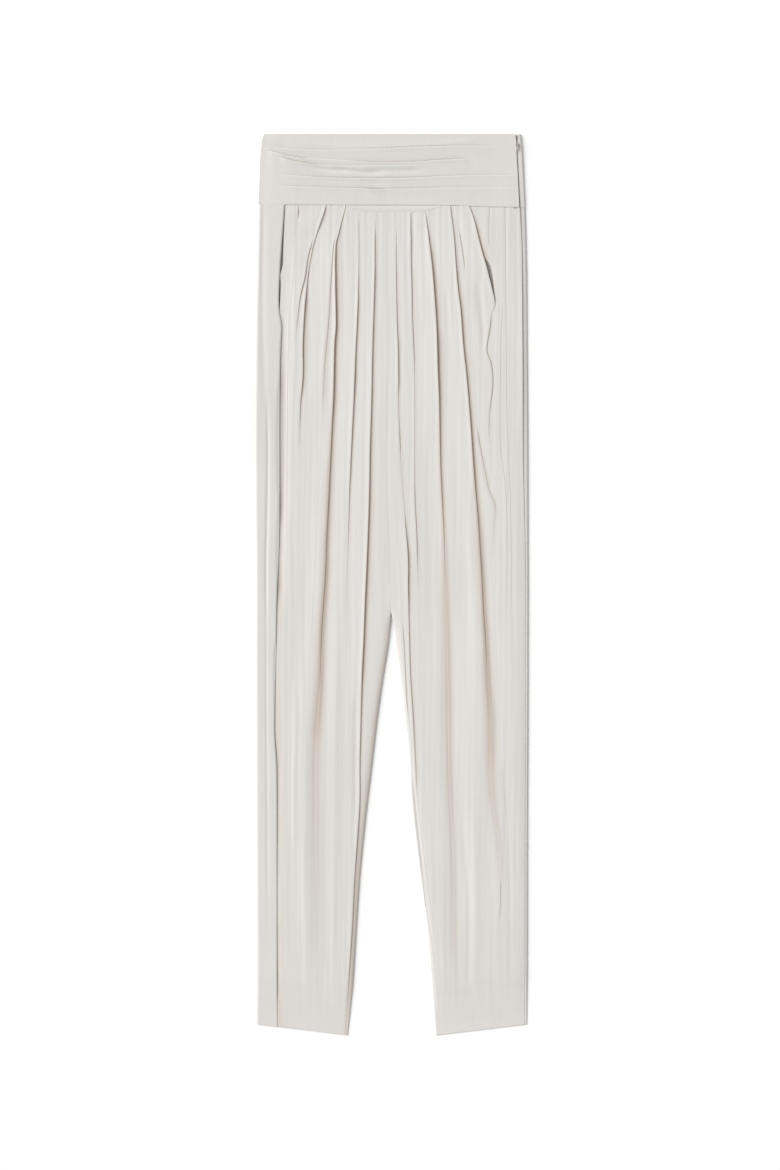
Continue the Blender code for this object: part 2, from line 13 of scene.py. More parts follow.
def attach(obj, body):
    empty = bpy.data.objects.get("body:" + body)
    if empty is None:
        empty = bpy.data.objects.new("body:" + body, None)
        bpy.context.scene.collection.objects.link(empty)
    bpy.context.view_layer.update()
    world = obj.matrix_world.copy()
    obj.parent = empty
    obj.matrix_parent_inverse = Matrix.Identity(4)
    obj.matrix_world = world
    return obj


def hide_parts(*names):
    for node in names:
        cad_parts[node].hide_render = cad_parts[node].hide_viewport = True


bl_info = {
    "name": "Laid Trousers",
    "version": (1, 0, 0),
    "blender": (4, 5, 0),
    "location": "3D View > Sidebar > Trousers",
    "description": "Makes the cloth, folds, pockets, zip and setting of trousers laid flat",
    "category": "Object",
}

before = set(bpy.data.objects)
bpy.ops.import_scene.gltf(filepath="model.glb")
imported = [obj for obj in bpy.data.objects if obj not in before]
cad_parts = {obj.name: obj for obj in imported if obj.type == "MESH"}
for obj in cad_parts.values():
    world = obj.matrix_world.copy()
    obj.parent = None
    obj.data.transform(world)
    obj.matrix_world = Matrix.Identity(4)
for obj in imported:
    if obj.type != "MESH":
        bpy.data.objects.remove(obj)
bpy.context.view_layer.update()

MM = 0.001
GARMENT = "garment"
# Painted shade: a point attribute, and the warm brown that it mixes the cloth's colour towards in creases,
# folds, troughs and along edges, where shade falls
PAINTED_SHADE_LAYER = "crease"
PAINTED_SHADE_TINT = (0.8, 0.62, 0.47)

# Lengths in millimetres, measured as in the solids: "down" from the waist edge, x from the
# centre line, z up from the surface
FULL_LENGTH = 1080.6
BAND_DEPTH = 86.0
POCKET_END = 203.0
CROTCH_DOWN = 573.0
SEAM_GAP = 0.3
JOINED_GAP = 0.04
BAND_PULLS_PANELS_TO = 250.0
# How far below the waistband the panels' top edge stands, and how soon that is gone
PANEL_TOP_DROP = (0.05, 1.2)
# The centre seam's edges become rounded inseams between these distances from the crotch line
INSEAM_STARTS = (-15.0, 25.0)

# The hems: how they slant up to the side edges, how the plies settle towards them, the turn-up
HEM_SLANT = 13.0
HEM_SLANT_FROM = 700.0
HEM_THINS_FROM = 1010.0
HEM_SETTLES = 0.94
BACK_SETTLES = 0.8
HEM_LIES_AT = 0.7
TURN_UP_DOWN = 1036.0
TURN_UP_DIP = 0.3
TURN_UP_WIDTH = 5.0

# Heights of the plies; a pair holds the heights at the waist and at the band's foot
BACK_Z = 0.25
BAG_Z = 0.9
TAPE_Z = 1.6
INSEAM_Z = 1.8
FRONT_Z = 3.2
BAND_Z = 3.6
BAND_WRAP_Z = (2.8, 2.15)
BAND_WRAP_CLIMB = 0.1
# The band's left end: its height, and the share of the width over which the band climbs
BAND_EDGE_Z = (3.05, 0.06)
# The strip under the band, (share of its depth, z)
STAY_Z = ((0.0, 3.2), (0.55, 3.55), (0.8, 3.42), (1.0, 3.1))

# The waistband's hem lifts and then rolls down, (height, reach); the lift fades over a share of
# the width at both ends
BAND_HEM_LIFT = (0.15, 6.0)
BAND_HEM_ROLL = (0.12, 0.5)
BAND_HEM_LIFT_FADE = 0.05
# How far in from their edges the inseams and the fronts' outer edges are rounded
INSEAM_ROUNDING = 3.2
OUTER_WIDTH = 6.0
# Depth and width of the roll down to a side seam, where the seam is crisp and where it is soft
STRIP_SEAM_ROLL = ((0.7, 1.0), (0.85, 5.0))
WRAP_SEAM_ROLL = ((0.1, 1.0), (0.1, 1.0))

# How a fold lifts the cloth: a crest before its edge, and a broad dome under it
CREST_WIDTH = 3.5
CREST_HOLD = 1.2
DOME_SHARE = 0.22
DOME_BEFORE = 9.0
DOME_WIDTH = 9.0
SOFT_STEEPNESS = 0.4
# A fold starts to lap at the first of these drops, and lies flat from the second
LAPS_WHEN = (1.0, 1.4)
# A fold that doesn't lap is a step, (share of its run, share of its drop)
STEP_RUN = 1.5
STEP = ((-0.5, 0.0), (-0.27, 0.12), (-0.1, 0.6), (0.05, 1.25), (0.2, 1.4), (0.36, 1.15), (0.5, 1.0))
NOSE_POINTS = 7
INNER_TURN_POINTS = 5
MOUTH_OPEN_FROM = 0.5
MOUTH_EDGE_STEP = 0.12

# Painted shade in creases: beside a crisp edge (share, reach, reach for each millimetre of
# trough), along a soft one (share, reach in widths, width from which it pales)
CRISP_SHADE = (0.95, 0.7, 1.4)
SOFT_SHADE = (0.6, 0.95, 5.6)
FULL_DROP = 2.2
OPEN_LOSES = 0.7
BAND_SHADE = 0.2
TROUGH_SHADE = 0.7
EDGE_SHADE = 0.3
# The left inseam's painted shade and its reach, and the painted shade of the sides with where
# it starts and ends below their tops: in millimetres, and as a share of the height
INSEAM_SHADE = (0.6, 2.4)
SIDE_SHADE = 0.4
SIDE_SHADE_DROP = (0.1, 0.7)

# Outlines, each a row of (down, x)
LEFT_EDGE = ((0, -153.0), (7, -155.4), (30, -157.8), (48, -158.2), (66, -159.0), (86, -159.8),
             (160, -161.4), (250, -163.2), (385, -163.7), (530, -162.8), (700, -162.6),
             (900, -162.0), (1080, -161.4))
RIGHT_EDGE = ((0, 155.0), (20, 157.0), (48, 158.4), (86, 160.2), (160, 162.0), (250, 162.8),
              (385, 163.7), (660, 163.7), (850, 162.9), (1080, 162.6))
CENTRE_SEAM = ((80, -0.6), (160, -1.2), (250, -2.8), (385, -4.9), (480, -3.0), (573, -0.6))
LEFT_INSEAM = ((573, -0.9), (606, -3.6), (648, -10.2), (700, -17.6), (757, -24.2), (822, -31.8),
               (890, -38.5), (957, -43.0), (1020, -47.0), (1080, -52.8))
RIGHT_INSEAM = ((573, -0.3), (606, 5.4), (648, 10.9), (700, 17.2), (757, 23.0), (822, 30.5),
                (890, 37.6), (957, 43.8), (1020, 49.2), (1080, 53.6))
LEFT_SIDE_SEAM = ((86, -127.8), (160, -133.4), (198, -135.0), (214, -134.2), (229, -131.6),
                  (253, -132.6), (319, -134.0), (480, -134.4), (559, -137.4), (607, -137.9),
                  (715, -140.0), (757, -137.5), (854, -136.9), (1080, -136.9))
RIGHT_SIDE_SEAM = ((86, 153.9), (133, 156.4), (250, 157.3), (385, 157.8), (433, 159.0),
                   (505, 160.6), (560, 161.0), (850, 160.4), (1080, 160.1))
BAND_END = ((0, 148.2), (9, 149.7), (16, 149.7), (40, 150.9), (86, 153.2))
BAND_WRAP_END = ((0, 152.2), (9, 151.1), (16, 151.0), (40, 152.1), (86, 154.4))
BAND_HEM = ((-160, 84.2), (-134, 84.5), (-50, 84.9), (20, 85.0), (70, 85.4), (94, 86.4),
            (118, 87.2), (160, 87.5))

# How far the left front stands off its seam down the left pocket's mouth, (down, gap)
LEFT_MOUTH = ((86, 0.4), (115, 1.1), (140, 2.2), (158, 3.0), (167, 0.8), (171, 0.6), (180, 1.6),
              (198, 1.6), (208, 0.7), (213, 0.0), (222, 0.0))
# How far the right pocket's mouth stands open, (down, gape)
MOUTH_GAPE = ((146, 0.0), (150, 1.6), (156, 4.6), (165, 4.6), (172, 3.9), (179, 2.8), (187, 1.8),
              (196, 0.9), (204, 0.0))
# Heights along the side seams, of the fronts' edges and of the backs' cloth over them, (down, z)
LEFT_FRONT_EDGE_Z = ((86, 3.0), (225, 2.9), (290, 2.7), (325, 3.0), (420, 2.85), (440, 2.5),
                     (475, 2.9), (512, 2.95), (546, 2.2), (583, 2.35), (619, 2.8), (654, 2.6),
                     (703, 2.35), (750, 2.1), (798, 2.2), (858, 2.4), (918, 2.7), (978, 2.3),
                     (1038, 1.8), (1080, 1.8))
RIGHT_FRONT_EDGE_Z = ((86, 2.7), (120, 2.8), (160, 2.95), (200, 3.4), (300, 3.6), (380, 3.0),
                      (430, 2.5), (520, 2.2), (1080, 2.15))
LEFT_STRIP_Z = ((86, 4.1), (250, 4.2), (480, 3.9), (720, 3.9), (900, 3.6), (1080, 3.3))
RIGHT_WRAP_Z = ((86, 2.0), (1080, 2.0))
# Where the left side seam lies in a soft valley, not under a crisp edge, (down, share)
SEAM_SOFTNESS = ((290, 0.0), (325, 1.0), (420, 1.0), (440, 0.3), (472, 0.9), (515, 0.9),
                 (542, 0.0), (605, 0.1), (622, 0.7), (650, 0.5), (690, 0.0))

# A fold: how far it laps under, how wide the cloth's climb after it is, the points before it,
# its line (down, x), and its shape (down, crest before it, trough after it, share of the drop
# that is soft, width of that soft part); a row without the last two is crisp
CRISP = (0, 2)
SHAPE_COLUMNS = 5
Fold = namedtuple("Fold", "name lap tail points line shape")
# What a fold is like at one place along it; gape is how far an open mouth stands apart
State = namedtuple("State", "nose crest trough soft width lap tail pressed gape")
LEFT_FOLDS = (
    Fold("stub", 0.0, 6.0, 12,
         ((86, -111.7), (99, -111.7), (127, -114.6), (187, -119.4), (235, -123.0), (343, -124.8),
          (559, -125.4), (1080, -126.6)),
         ((88, 0, 0), (91, 0.5, 0.4), (97, 0.4, 0.4), (104, 0, 0))),
    Fold("outer_twin", 0.0, 5.0, 10,
         ((86, -86.4), (112, -91.2), (130, -94.9), (147, -99.5), (170, -103.0), (194, -108.7),
          (217, -111.6), (247, -114.6), (343, -118.2), (559, -120.6), (1080, -121.8)),
         ((128, 0, 0), (138, 0.4, 0.5), (180, 0.6, 0.6, 0.1, 2), (215, 0.5, 0.4, 0.4, 3),
          (260, 0, 0, 1, 3))),
    Fold("outer", 1.5, 8.0, 5,
         ((86, -78.0), (91, -79.4), (121, -89.4), (141, -94.9), (164, -99.0), (193, -102.6),
          (217, -104.6), (253, -106.2), (289, -106.2), (320, -108.6), (356, -109.8),
          (511, -113.4), (751, -114.6), (1080, -113.4)),
         ((86, 0.2, 0.2), (94, 0.9, 0.6), (108, 0.9, 0.6), (122, 0.4, 0.35), (155, 0.4, 0.35),
          (175, 0.65, 0.5), (205, 1.3, 0.9), (250, 1.2, 0.9), (295, 1.0, 0.8),
          (330, 0.55, 0.5, 0.3, 2), (362, 0.3, 0.3, 0.7, 3), (385, 0, 0, 1, 4))),
    Fold("major_twin", 0.0, 8.0, 20,
         ((86, -60.6), (116, -64.8), (133, -69.0), (181, -72.6), (229, -75.5), (277, -79.8),
          (313, -81.7), (415, -87.0), (511, -91.8), (661, -99.0), (799, -105.0), (1080, -100.2)),
         ((120, 0, 0), (138, 0.4, 0.4, 0.3, 2), (180, 0.6, 0.5, 0.5, 3), (260, 0.7, 0.6, 0.7, 3.5),
          (300, 0.7, 0.6, 0.8, 4), (345, 0.3, 0.3, 1, 5), (370, 0, 0, 1, 5))),
    Fold("major", 1.9, 10.0, 7,
         ((86, -54.6), (92, -55.8), (116, -62.0), (133, -66.6), (181, -67.2), (229, -66.4),
          (253, -68.2), (313, -69.6), (361, -72.0), (421, -74.8), (481, -77.6), (529, -79.2),
          (601, -84.0), (659, -85.6), (730, -90.4), (789, -91.4), (886, -89.9), (967, -85.8),
          (1080, -81.0)),
         ((86, 0.2, 0.2), (105, 0.45, 0.35), (127, 0.8, 0.6), (150, 1.3, 1.0), (180, 1.5, 1.3),
          (300, 1.5, 1.5, 0.1, 3), (360, 1.3, 1.7, 0.4, 3.5), (420, 1.4, 2.0, 0.6, 4.3),
          (500, 1.9, 2.4, 0.75, 5.0), (600, 2.0, 2.4, 0.8, 5.2), (640, 1.9, 2.3, 0.9, 5.4),
          (680, 1.4, 1.9, 1, 6), (740, 0.65, 1.0, 1, 7), (900, 0.5, 0.8, 1, 9),
          (1000, 0.2, 0.3, 1, 9), (1060, 0, 0, 1, 9))),
    Fold("inner", 1.3, 8.0, 20,
         ((86, -39.0), (163, -39.0), (217, -40.9), (253, -42.6), (313, -45.0), (361, -47.4),
          (397, -49.1), (445, -50.5), (559, -53.4), (679, -55.2), (823, -60.6), (1080, -66.6)),
         ((100, 0, 0), (112, 0.2, 0.15), (162, 0.25, 0.2), (175, 0.45, 0.35), (215, 1.0, 0.75),
          (255, 1.05, 0.8), (295, 1.2, 0.95), (330, 1.0, 0.7), (400, 0.8, 0.6, 0.05, 2),
          (450, 0.5, 0.5, 0.4, 3), (520, 0.35, 0.35, 0.8, 5), (600, 0.2, 0.3, 1, 6),
          (680, 0, 0, 1, 6))),
    Fold("long", 1.5, 8.0, 18,
         ((86, -19.3), (151, -19.8), (199, -21.0), (259, -22.8), (319, -24.0), (379, -25.8),
          (439, -26.8), (511, -29.4), (559, -31.6), (607, -33.4), (655, -35.6), (751, -37.8),
          (799, -38.0), (847, -41.2), (895, -44.4), (943, -46.4), (991, -49.6), (1039, -52.7),
          (1080, -56.4)),
         ((98, 0, 0), (110, 0.15, 0.1), (127, 0.5, 0.4), (153, 0.7, 0.5), (175, 0.9, 0.75),
          (300, 0.95, 0.85), (440, 1.15, 1.05, 0.05, 2), (550, 1.4, 1.2), (640, 1.35, 1.1),
          (665, 1.0, 0.8), (700, 0.75, 0.6), (760, 0.6, 0.5), (850, 0.8, 0.6), (960, 0.6, 0.45),
          (1040, 0.35, 0.25), (1080, 0.25, 0.2))),
)
RIGHT_FOLDS = (
    Fold("second", 0.0, 4.0, 7,
         ((86, 1.8), (199, 1.8), (319, 3.0), (439, 5.4), (511, 9.0), (607, 15.0), (679, 18.6),
          (727, 23.4), (799, 25.8), (919, 40.2), (991, 51.0), (1080, 59.4)),
         ((580, 0, 0), (606, 0.3, 0.3, 0.2, 2), (680, 0.4, 0.3, 0.3, 2), (715, 0, 0, 1, 2))),
    Fold("centre", 1.3, 8.0, 4,
         ((86, 6.0), (175, 6.0), (211, 6.6), (259, 7.8), (313, 8.6), (361, 10.0), (402, 12.0),
          (439, 15.0), (474, 17.4), (511, 20.0), (547, 20.0), (583, 21.2), (618, 22.0),
          (654, 23.2), (703, 26.4), (751, 29.0), (799, 31.6), (919, 46.2), (991, 57.0),
          (1080, 65.4)),
         ((112, 0, 0), (125, 0.2, 0.15), (148, 0.35, 0.3), (175, 0.5, 0.35), (222, 0.5, 0.4),
          (258, 0.85, 0.55), (294, 0.85, 0.6), (318, 0.5, 0.4, 0.5, 3), (340, 0.45, 0.4, 0.6, 3),
          (366, 0.6, 0.5, 0.3, 2), (395, 0.4, 0.4, 0.8, 4), (450, 0.4, 0.4, 0.7, 3),
          (476, 0.7, 0.6, 0.1, 2), (505, 1.05, 0.85), (548, 1.0, 0.8), (583, 0.6, 0.5, 0.2, 2),
          (700, 0.65, 0.5, 0.3, 2.5), (760, 0.5, 0.5, 0.5, 3), (805, 0.15, 0.15, 1, 4),
          (840, 0, 0, 1, 4))),
    Fold("short", 1.3, 8.0, 14,
         ((86, 23.4), (127, 23.4), (187, 24.6), (223, 25.4), (271, 27.4), (319, 28.2),
          (403, 28.0), (439, 28.4), (475, 30.2), (511, 31.4), (538, 32.2), (659, 39.0),
          (823, 48.6), (957, 59.4), (1080, 67.8)),
         ((90, 0, 0), (97, 0.35, 0.25), (108, 0.5, 0.35), (127, 0.75, 0.5), (153, 0.55, 0.4),
          (180, 0.65, 0.5), (222, 0.5, 0.4, 0.1, 2), (258, 0.5, 0.4, 0.1, 2),
          (295, 0.35, 0.3, 0.5, 3), (366, 0.3, 0.3, 0.5, 3), (410, 0.35, 0.3, 0.3, 2.5),
          (440, 0.5, 0.45, 0.3, 3), (500, 0.5, 0.45, 0.2, 2.5), (530, 0.25, 0.25, 0.6, 4),
          (552, 0, 0, 1, 4))),
    Fold("major", 1.8, 10.0, 18,
         ((86, 39.0), (97, 41.2), (127, 45.0), (157, 48.6), (199, 52.2), (235, 54.4),
          (283, 55.8), (319, 57.2), (355, 57.8), (403, 59.0), (439, 61.0), (487, 63.4),
          (559, 65.0), (607, 66.6), (655, 67.6), (751, 68.6), (799, 70.6), (847, 72.6),
          (895, 73.8), (991, 75.0), (1080, 75.6)),
         ((92, 0, 0), (100, 0.4, 0.3), (108, 0.5, 0.4), (127, 0.9, 0.65), (150, 1.4, 1.0),
          (180, 1.6, 1.2), (222, 1.5, 1.2), (255, 1.9, 1.6), (295, 1.8, 1.5, 0.05, 2),
          (330, 1.4, 1.2, 0.15, 3), (402, 1.1, 1.0, 0.4, 3), (470, 0.9, 0.9, 0.6, 3),
          (510, 0.8, 0.9, 0.8, 4), (560, 0.8, 1.0, 1, 5.5), (700, 0.65, 0.9, 1, 5.5),
          (850, 0.55, 0.7, 1, 5), (960, 0.5, 0.6, 1, 5), (1010, 0.3, 0.3, 1, 6),
          (1060, 0, 0, 1, 9))),
    Fold("outer", 1.9, 10.0, 30,
         ((86, 70.6), (121, 74.8), (153, 77.0), (181, 79.4), (211, 83.0), (253, 86.2),
          (283, 89.4), (319, 92.6), (355, 95.4), (379, 97.0), (415, 99.6), (451, 102.8),
          (487, 105.4), (523, 107.8), (571, 110.4), (607, 112.8), (655, 115.2), (703, 118.4),
          (787, 120.0), (859, 129.0), (919, 130.8), (973, 129.0), (1080, 130.2)),
         ((86, 0.3, 0.2), (92, 0.6, 0.4), (108, 0.7, 0.5), (153, 0.9, 0.65), (175, 1.1, 0.8),
          (222, 1.3, 0.9), (330, 1.3, 1.0, 0.05, 2), (400, 1.4, 1.4, 0.2, 3),
          (440, 1.4, 1.7, 0.5, 4.0), (500, 1.9, 2.1, 0.7, 5.0), (600, 2.0, 2.3, 0.8, 5.2),
          (660, 1.7, 2.1, 0.95, 5.6), (715, 1.0, 1.4, 1, 6.5), (780, 0.6, 1.0, 1, 6),
          (850, 0.5, 0.6, 1, 5), (896, 0.4, 0.4, 1, 4), (910, 0.45, 0.4, 0.55, 2.5),
          (940, 0.4, 0.35, 0.55, 2.5), (954, 0.25, 0.25, 1, 3), (1000, 0.2, 0.2, 1, 4),
          (1030, 0, 0, 1, 4))),
    Fold("branch", 0.0, 5.0, 6,
         ((86, 77.4), (121, 82.2), (153, 87.0), (199, 91.8), (253, 96.6), (319, 100.8),
          (355, 103.2), (385, 108.6), (409, 113.4), (427, 117.0), (445, 124.2), (469, 123.0),
          (493, 121.8), (511, 120.0), (583, 124.2), (679, 129.0), (787, 133.8), (871, 138.6),
          (1080, 139.8)),
         ((115, 0, 0), (124, 0.3, 0.3), (150, 0.3, 0.3), (165, 0, 0), (350, 0, 0),
          (362, 0.5, 0.4, 0.3, 2), (400, 0.6, 0.6, 0.7, 3), (440, 0.6, 0.5, 0.7, 2),
          (460, 0.4, 0.3, 0.8, 3), (500, 0.2, 0.2, 1, 3), (520, 0, 0, 1, 3), (740, 0, 0, 1, 3),
          (770, 0.3, 0.4, 1, 4), (1000, 0.3, 0.3, 1, 4), (1050, 0, 0, 1, 4))),
    Fold("mouth", 2.6, 3.2, 14,
         ((86, 93.6), (93, 96.0), (100, 98.4), (114, 102.3), (129, 105.8), (143, 109.6),
          (151, 111.9), (158, 114.0), (165, 115.6), (172, 117.4), (179, 119.2), (187, 121.0),
          (194, 122.8), (201, 124.0), (206, 124.6), (211, 122.2), (218, 119.8), (230, 118.6),
          (244, 116.2), (258, 114.4), (265, 115.8), (274, 119.4), (289, 121.4), (304, 121.4),
          (325, 118.8), (349, 117.0), (379, 118.8), (415, 124.8), (445, 130.6), (511, 130.8),
          (679, 131.4), (871, 139.8), (1080, 145.8)),
         ((86, 0.5, 0.3), (92, 0.9, 0.6), (125, 1.2, 1.1), (146, 1.3, 1.5), (180, 1.2, 1.2),
          (198, 0.9, 0.7, 0.1, 2), (206, 0.3, 0.2, 0.4, 2), (214, 0.25, 0.2, 0.5, 2),
          (226, 0.5, 0.45, 0.2, 2), (300, 0.5, 0.4, 0.2, 2), (350, 0.35, 0.3, 0.5, 3),
          (385, 0, 0, 1, 3))),
    Fold("press", 0.0, 5.0, 12,
         ((86, 117.6), (133, 117.6), (153, 125.4), (199, 132.6), (247, 131.4), (373, 130.8),
          (415, 136.2), (463, 138.6), (679, 138.6), (871, 144.6), (1080, 150.6)),
         ((86, 0.12, 0.1), (128, 0.12, 0.1), (140, 0, 0), (200, 0, 0), (215, 0.1, 0.1),
          (540, 0.1, 0.1, 0.2, 2), (600, 0, 0, 1, 2))),
    Fold("press_side", 0.0, 5.0, 8,
         ((86, 136.2), (199, 137.4), (343, 138.6), (391, 141.0), (463, 143.4), (679, 144.6),
          (871, 149.4), (1080, 154.2)),
         ((86, 0.1, 0.1), (540, 0.1, 0.1, 0.2, 2), (600, 0, 0, 1, 2))),
)

# Soft ridges (+) and troughs (-) in the panels: height, half width, where each starts and ends
# down the panel, and its line (down, x). It fades in and out over a share of its length, and
# reaches to some half widths from its line
CREASE_FADE = 0.25
CREASE_REACH = 3.0
Crease = namedtuple("Crease", "height width starts ends line")
LEFT_CREASES = (
    Crease(-0.5, 4.5, 205, 330, ((205, -130.5), (300, -129.4), (330, -129.6))),
    Crease(-1.5, 6.6, 270, 480, ((280, -129.6), (385, -130.0), (480, -131.0))),
    Crease(-1.0, 5.4, 430, 575, ((440, -131.0), (500, -132.6), (560, -133.6))),
    Crease(0.4, 6.0, 100, 330, ((86, -112.0), (330, -118.0))),
    Crease(0.8, 9.0, 580, 1060, ((560, -105.0), (800, -105.5), (1080, -98.0))),
    Crease(0.4, 4.0, 640, 880, ((640, -116.0), (880, -117.0))),
    Crease(0.5, 5.0, 540, 1060, ((540, -66.0), (1080, -70.0))),
    Crease(-0.5, 3.5, 660, 840, ((660, -43.0), (840, -43.5))),
    Crease(-0.2, 2.0, 255, 560, CENTRE_SEAM),
)
RIGHT_CREASES = (
    Crease(-0.2, 2.0, 255, 560, CENTRE_SEAM),
    Crease(-0.6, 12.0, 330, 640, ((330, 47.0), (640, 51.0))),
    Crease(-0.7, 12.0, 540, 1060, ((540, 66.0), (800, 73.0), (1060, 80.0))),
    Crease(0.5, 10.0, 520, 1010, ((520, 96.0), (800, 102.0), (1010, 104.0))),
    Crease(-0.35, 3.0, 790, 1060, ((834, 85.8), (918, 91.8), (1026, 91.8))),
    Crease(0.35, 3.0, 780, 1060, ((822, 98.4), (1026, 101.0))),
    Crease(-0.5, 3.5, 168, 262, ((186, 103.8), (234, 109.8))),
    Crease(-0.3, 3.0, 180, 290, ((198, 66.6), (258, 70.2))),
)
STRIP_CREASES = (
    Crease(-0.45, 3.6, 40, 360, ((86, -154.0), (199, -154.6), (330, -152.0))),
    Crease(-0.75, 1.7, 300, 610, ((300, -149.4), (366, -148.2), (402, -148.2), (475, -149.4),
                                 (511, -150.4), (610, -150.0))),
    Crease(-0.4, 1.6, 540, 980, ((540, -150.2), (679, -149.9), (871, -148.6), (980, -147.6))),
)

# Tucks across the waistband, whose folded edges face the waist: the same columns, with lines
# (x, down) and shapes that run along x
TUCKS = (
    Fold("fifth", 0.0, 5.0, 12,
         ((-160, 60.6), (-134, 61.8), (-98, 63.0), (-74, 64.0), (-38, 64.7), (-22, 65.6),
          (10, 65.2), (34, 64.6), (70, 63.5), (106, 64.0), (150, 64.4)),
         ((-138, 0, 0), (-112, 0.41, 0.34), (-60, 0.41, 0.34), (-38, 0.68, 0.54),
          (-22, 0.94, 0.81), (-5, 0.54, 0.41), (30, 0.54, 0.47), (80, 0.41, 0.34, 0.1, 2),
          (136, 0.14, 0.14, 0.5, 2), (150, 0, 0, 1, 2))),
    Fold("fourth", 0.0, 5.0, 9,
         ((-160, 45.7), (-140, 48.1), (-110, 50.0), (-86, 51.5), (-62, 52.2), (-32, 52.4),
          (-8, 52.6), (10, 52.4), (28, 51.8), (58, 50.5), (77, 49.8), (106, 48.8), (150, 49.3)),
         ((-144, 0, 0), (-104, 0.27, 0.2), (-80, 0.47, 0.41), (-36, 0.68, 0.54), (20, 0.61, 0.47),
          (80, 0.41, 0.27), (138, 0.27, 0.2), (150, 0, 0))),
    Fold("third_low", 0.0, 4.0, 10,
         ((-160, 25.8), (-139, 26.5), (-124, 30.1), (-115, 32.0), (-105, 34.0), (-95, 35.6),
          (-86, 36.6), (-57, 37.6), (-19, 37.3), (46, 36.8), (150, 37.6)),
         ((-136, 0, 0), (-125, 0.68, 0.54), (-100, 0.68, 0.54, 0.1, 2), (-80, 0.41, 0.41, 0.3, 2),
          (-40, 0.34, 0.27, 0.1, 2), (10, 0.2, 0.14), (40, 0, 0))),
    Fold("third", 0.0, 4.0, 4,
         ((-160, 19.6), (-152, 19.8), (-143, 20.8), (-134, 22.4), (-124, 25.3), (-115, 27.2),
          (-105, 28.9), (-88, 29.6), (-57, 31.1), (-38, 32.5), (-8, 33.7), (28, 33.0),
          (52, 31.3), (76, 29.9), (95, 29.4), (150, 29.9)),
         ((-152, 0, 0), (-140, 0.54, 0.47), (-108, 0.54, 0.47), (-92, 0.27, 0.27, 0.8, 2),
          (-60, 0.34, 0.27, 0.2, 2), (-20, 0.54, 0.47), (80, 0.54, 0.47), (98, 0, 0))),
    Fold("second", 0.0, 5.0, 10,
         ((-160, 15.0), (-140, 16.4), (-104, 18.6), (-68, 19.0), (-32, 17.9), (4, 16.1),
          (28, 15.0), (58, 14.3), (82, 13.8), (116, 14.5), (150, 15.5)),
         ((-142, 0, 0), (-128, 0.27, 0.2, 0.2, 2), (-40, 0.34, 0.27, 0.2, 2), (-10, 0.54, 0.47),
          (60, 0.54, 0.47), (100, 0.34, 0.27), (130, 0, 0))),
    Fold("first", 0.0, 5.0, 5,
         ((-160, 3.0), (-134, 3.4), (-122, 5.4), (-110, 7.8), (-86, 10.2), (-62, 12.2),
          (-19, 12.6), (10, 11.9), (46, 10.2), (70, 7.8), (88, 6.0), (106, 4.8), (150, 4.2)),
         ((-136, 0, 0, 1, 2.5), (-116, 0.41, 0.41, 1, 2.5), (20, 0.47, 0.47, 1, 2.5),
          (84, 0.41, 0.41, 1, 2.5), (112, 0, 0, 1, 2.5))),
)
TUCK_LAST_POINTS = 5
TUCK_HEIGHT = 1.25
BAND_CREASES = (
    Crease(-0.75, 2.0, -112, -46, ((-105, 36.6), (-91, 40.2), (-81, 42.1), (-67, 43.6),
                                  (-55, 43.8))),
    Crease(-0.95, 2.4, -74, -6, ((-67, 40.7), (-50, 43.8), (-33, 45.5), (-16, 46.2))),
    Crease(-0.8, 3.2, -40, 46, ((-30, 44.0), (38, 43.6))),
    Crease(-0.3, 1.6, -88, -48, ((-86, 53.4), (-62, 57.0), (-52, 58.2))),
    Crease(-0.35, 1.6, -40, -10, ((-38, 55.8), (-26, 57.7), (-14, 59.9))),
    Crease(-0.8, 5.5, -190, -50, ((-163, 12.0), (-134, 20.0), (-110, 30.6), (-74, 42.6))),
)

# The panels of each side (left -1, right 1). A front: its folds, the points after the last one,
# soft creases, outer edge's height, flat size and area. A back: its side edge, seam, height
# over the front, soft creases, points over the front, how far in its turn reaches, roll down
# to the seam, flat size and area
Front = namedtuple("Front", "word side folds last_points creases edge_z flat area")
FRONTS = (
    Front("left", -1, LEFT_FOLDS, 14, LEFT_CREASES, LEFT_FRONT_EDGE_Z, (0.22, 1.0), 0.15),
    Front("right", 1, RIGHT_FOLDS, 16, RIGHT_CREASES, RIGHT_FRONT_EDGE_Z, (0.24, 1.0), 0.17),
)
Back = namedtuple("Back", "word side edge seam wrap_z creases points reach roll flat area")
BACKS = (
    Back("left", -1, LEFT_EDGE, LEFT_SIDE_SEAM, LEFT_STRIP_Z, STRIP_CREASES, 24, 2.4,
         STRIP_SEAM_ROLL, (0.2, 1.0), 0.16),
    Back("right", 1, RIGHT_EDGE, RIGHT_SIDE_SEAM, RIGHT_WRAP_Z, (), 6, 6.0,
         WRAP_SEAM_ROLL, (0.18, 1.0), 0.14),
)
# Points across a back beneath and round its side turn, the least width that the turn leaves
# over the front, and the share of that width over which the soft creases start
BACK_UNDER_POINTS = 8
SIDE_TURN_POINTS = 9
LEAST_WRAP = 1.2
STRIP_CREASES_START = 0.15

# The waistband: the ends that its columns run between, their step and inset as shares of the
# width, and the rows, points and wrap of its back
BAND_RUN = (-158.0, 150.0)
BAND_COLUMN_STEP = 0.0055
BAND_END_INSET = 0.0007
BAND_FROM_EDGE = 0.2
BAND_BACK_STEP = 3.0
BAND_BACK_POINTS = 12
BAND_WRAP_SHARES = (0.25, 0.5, 0.75, 0.94, 1.0)
BAND_LEAST_WRAP = 0.4

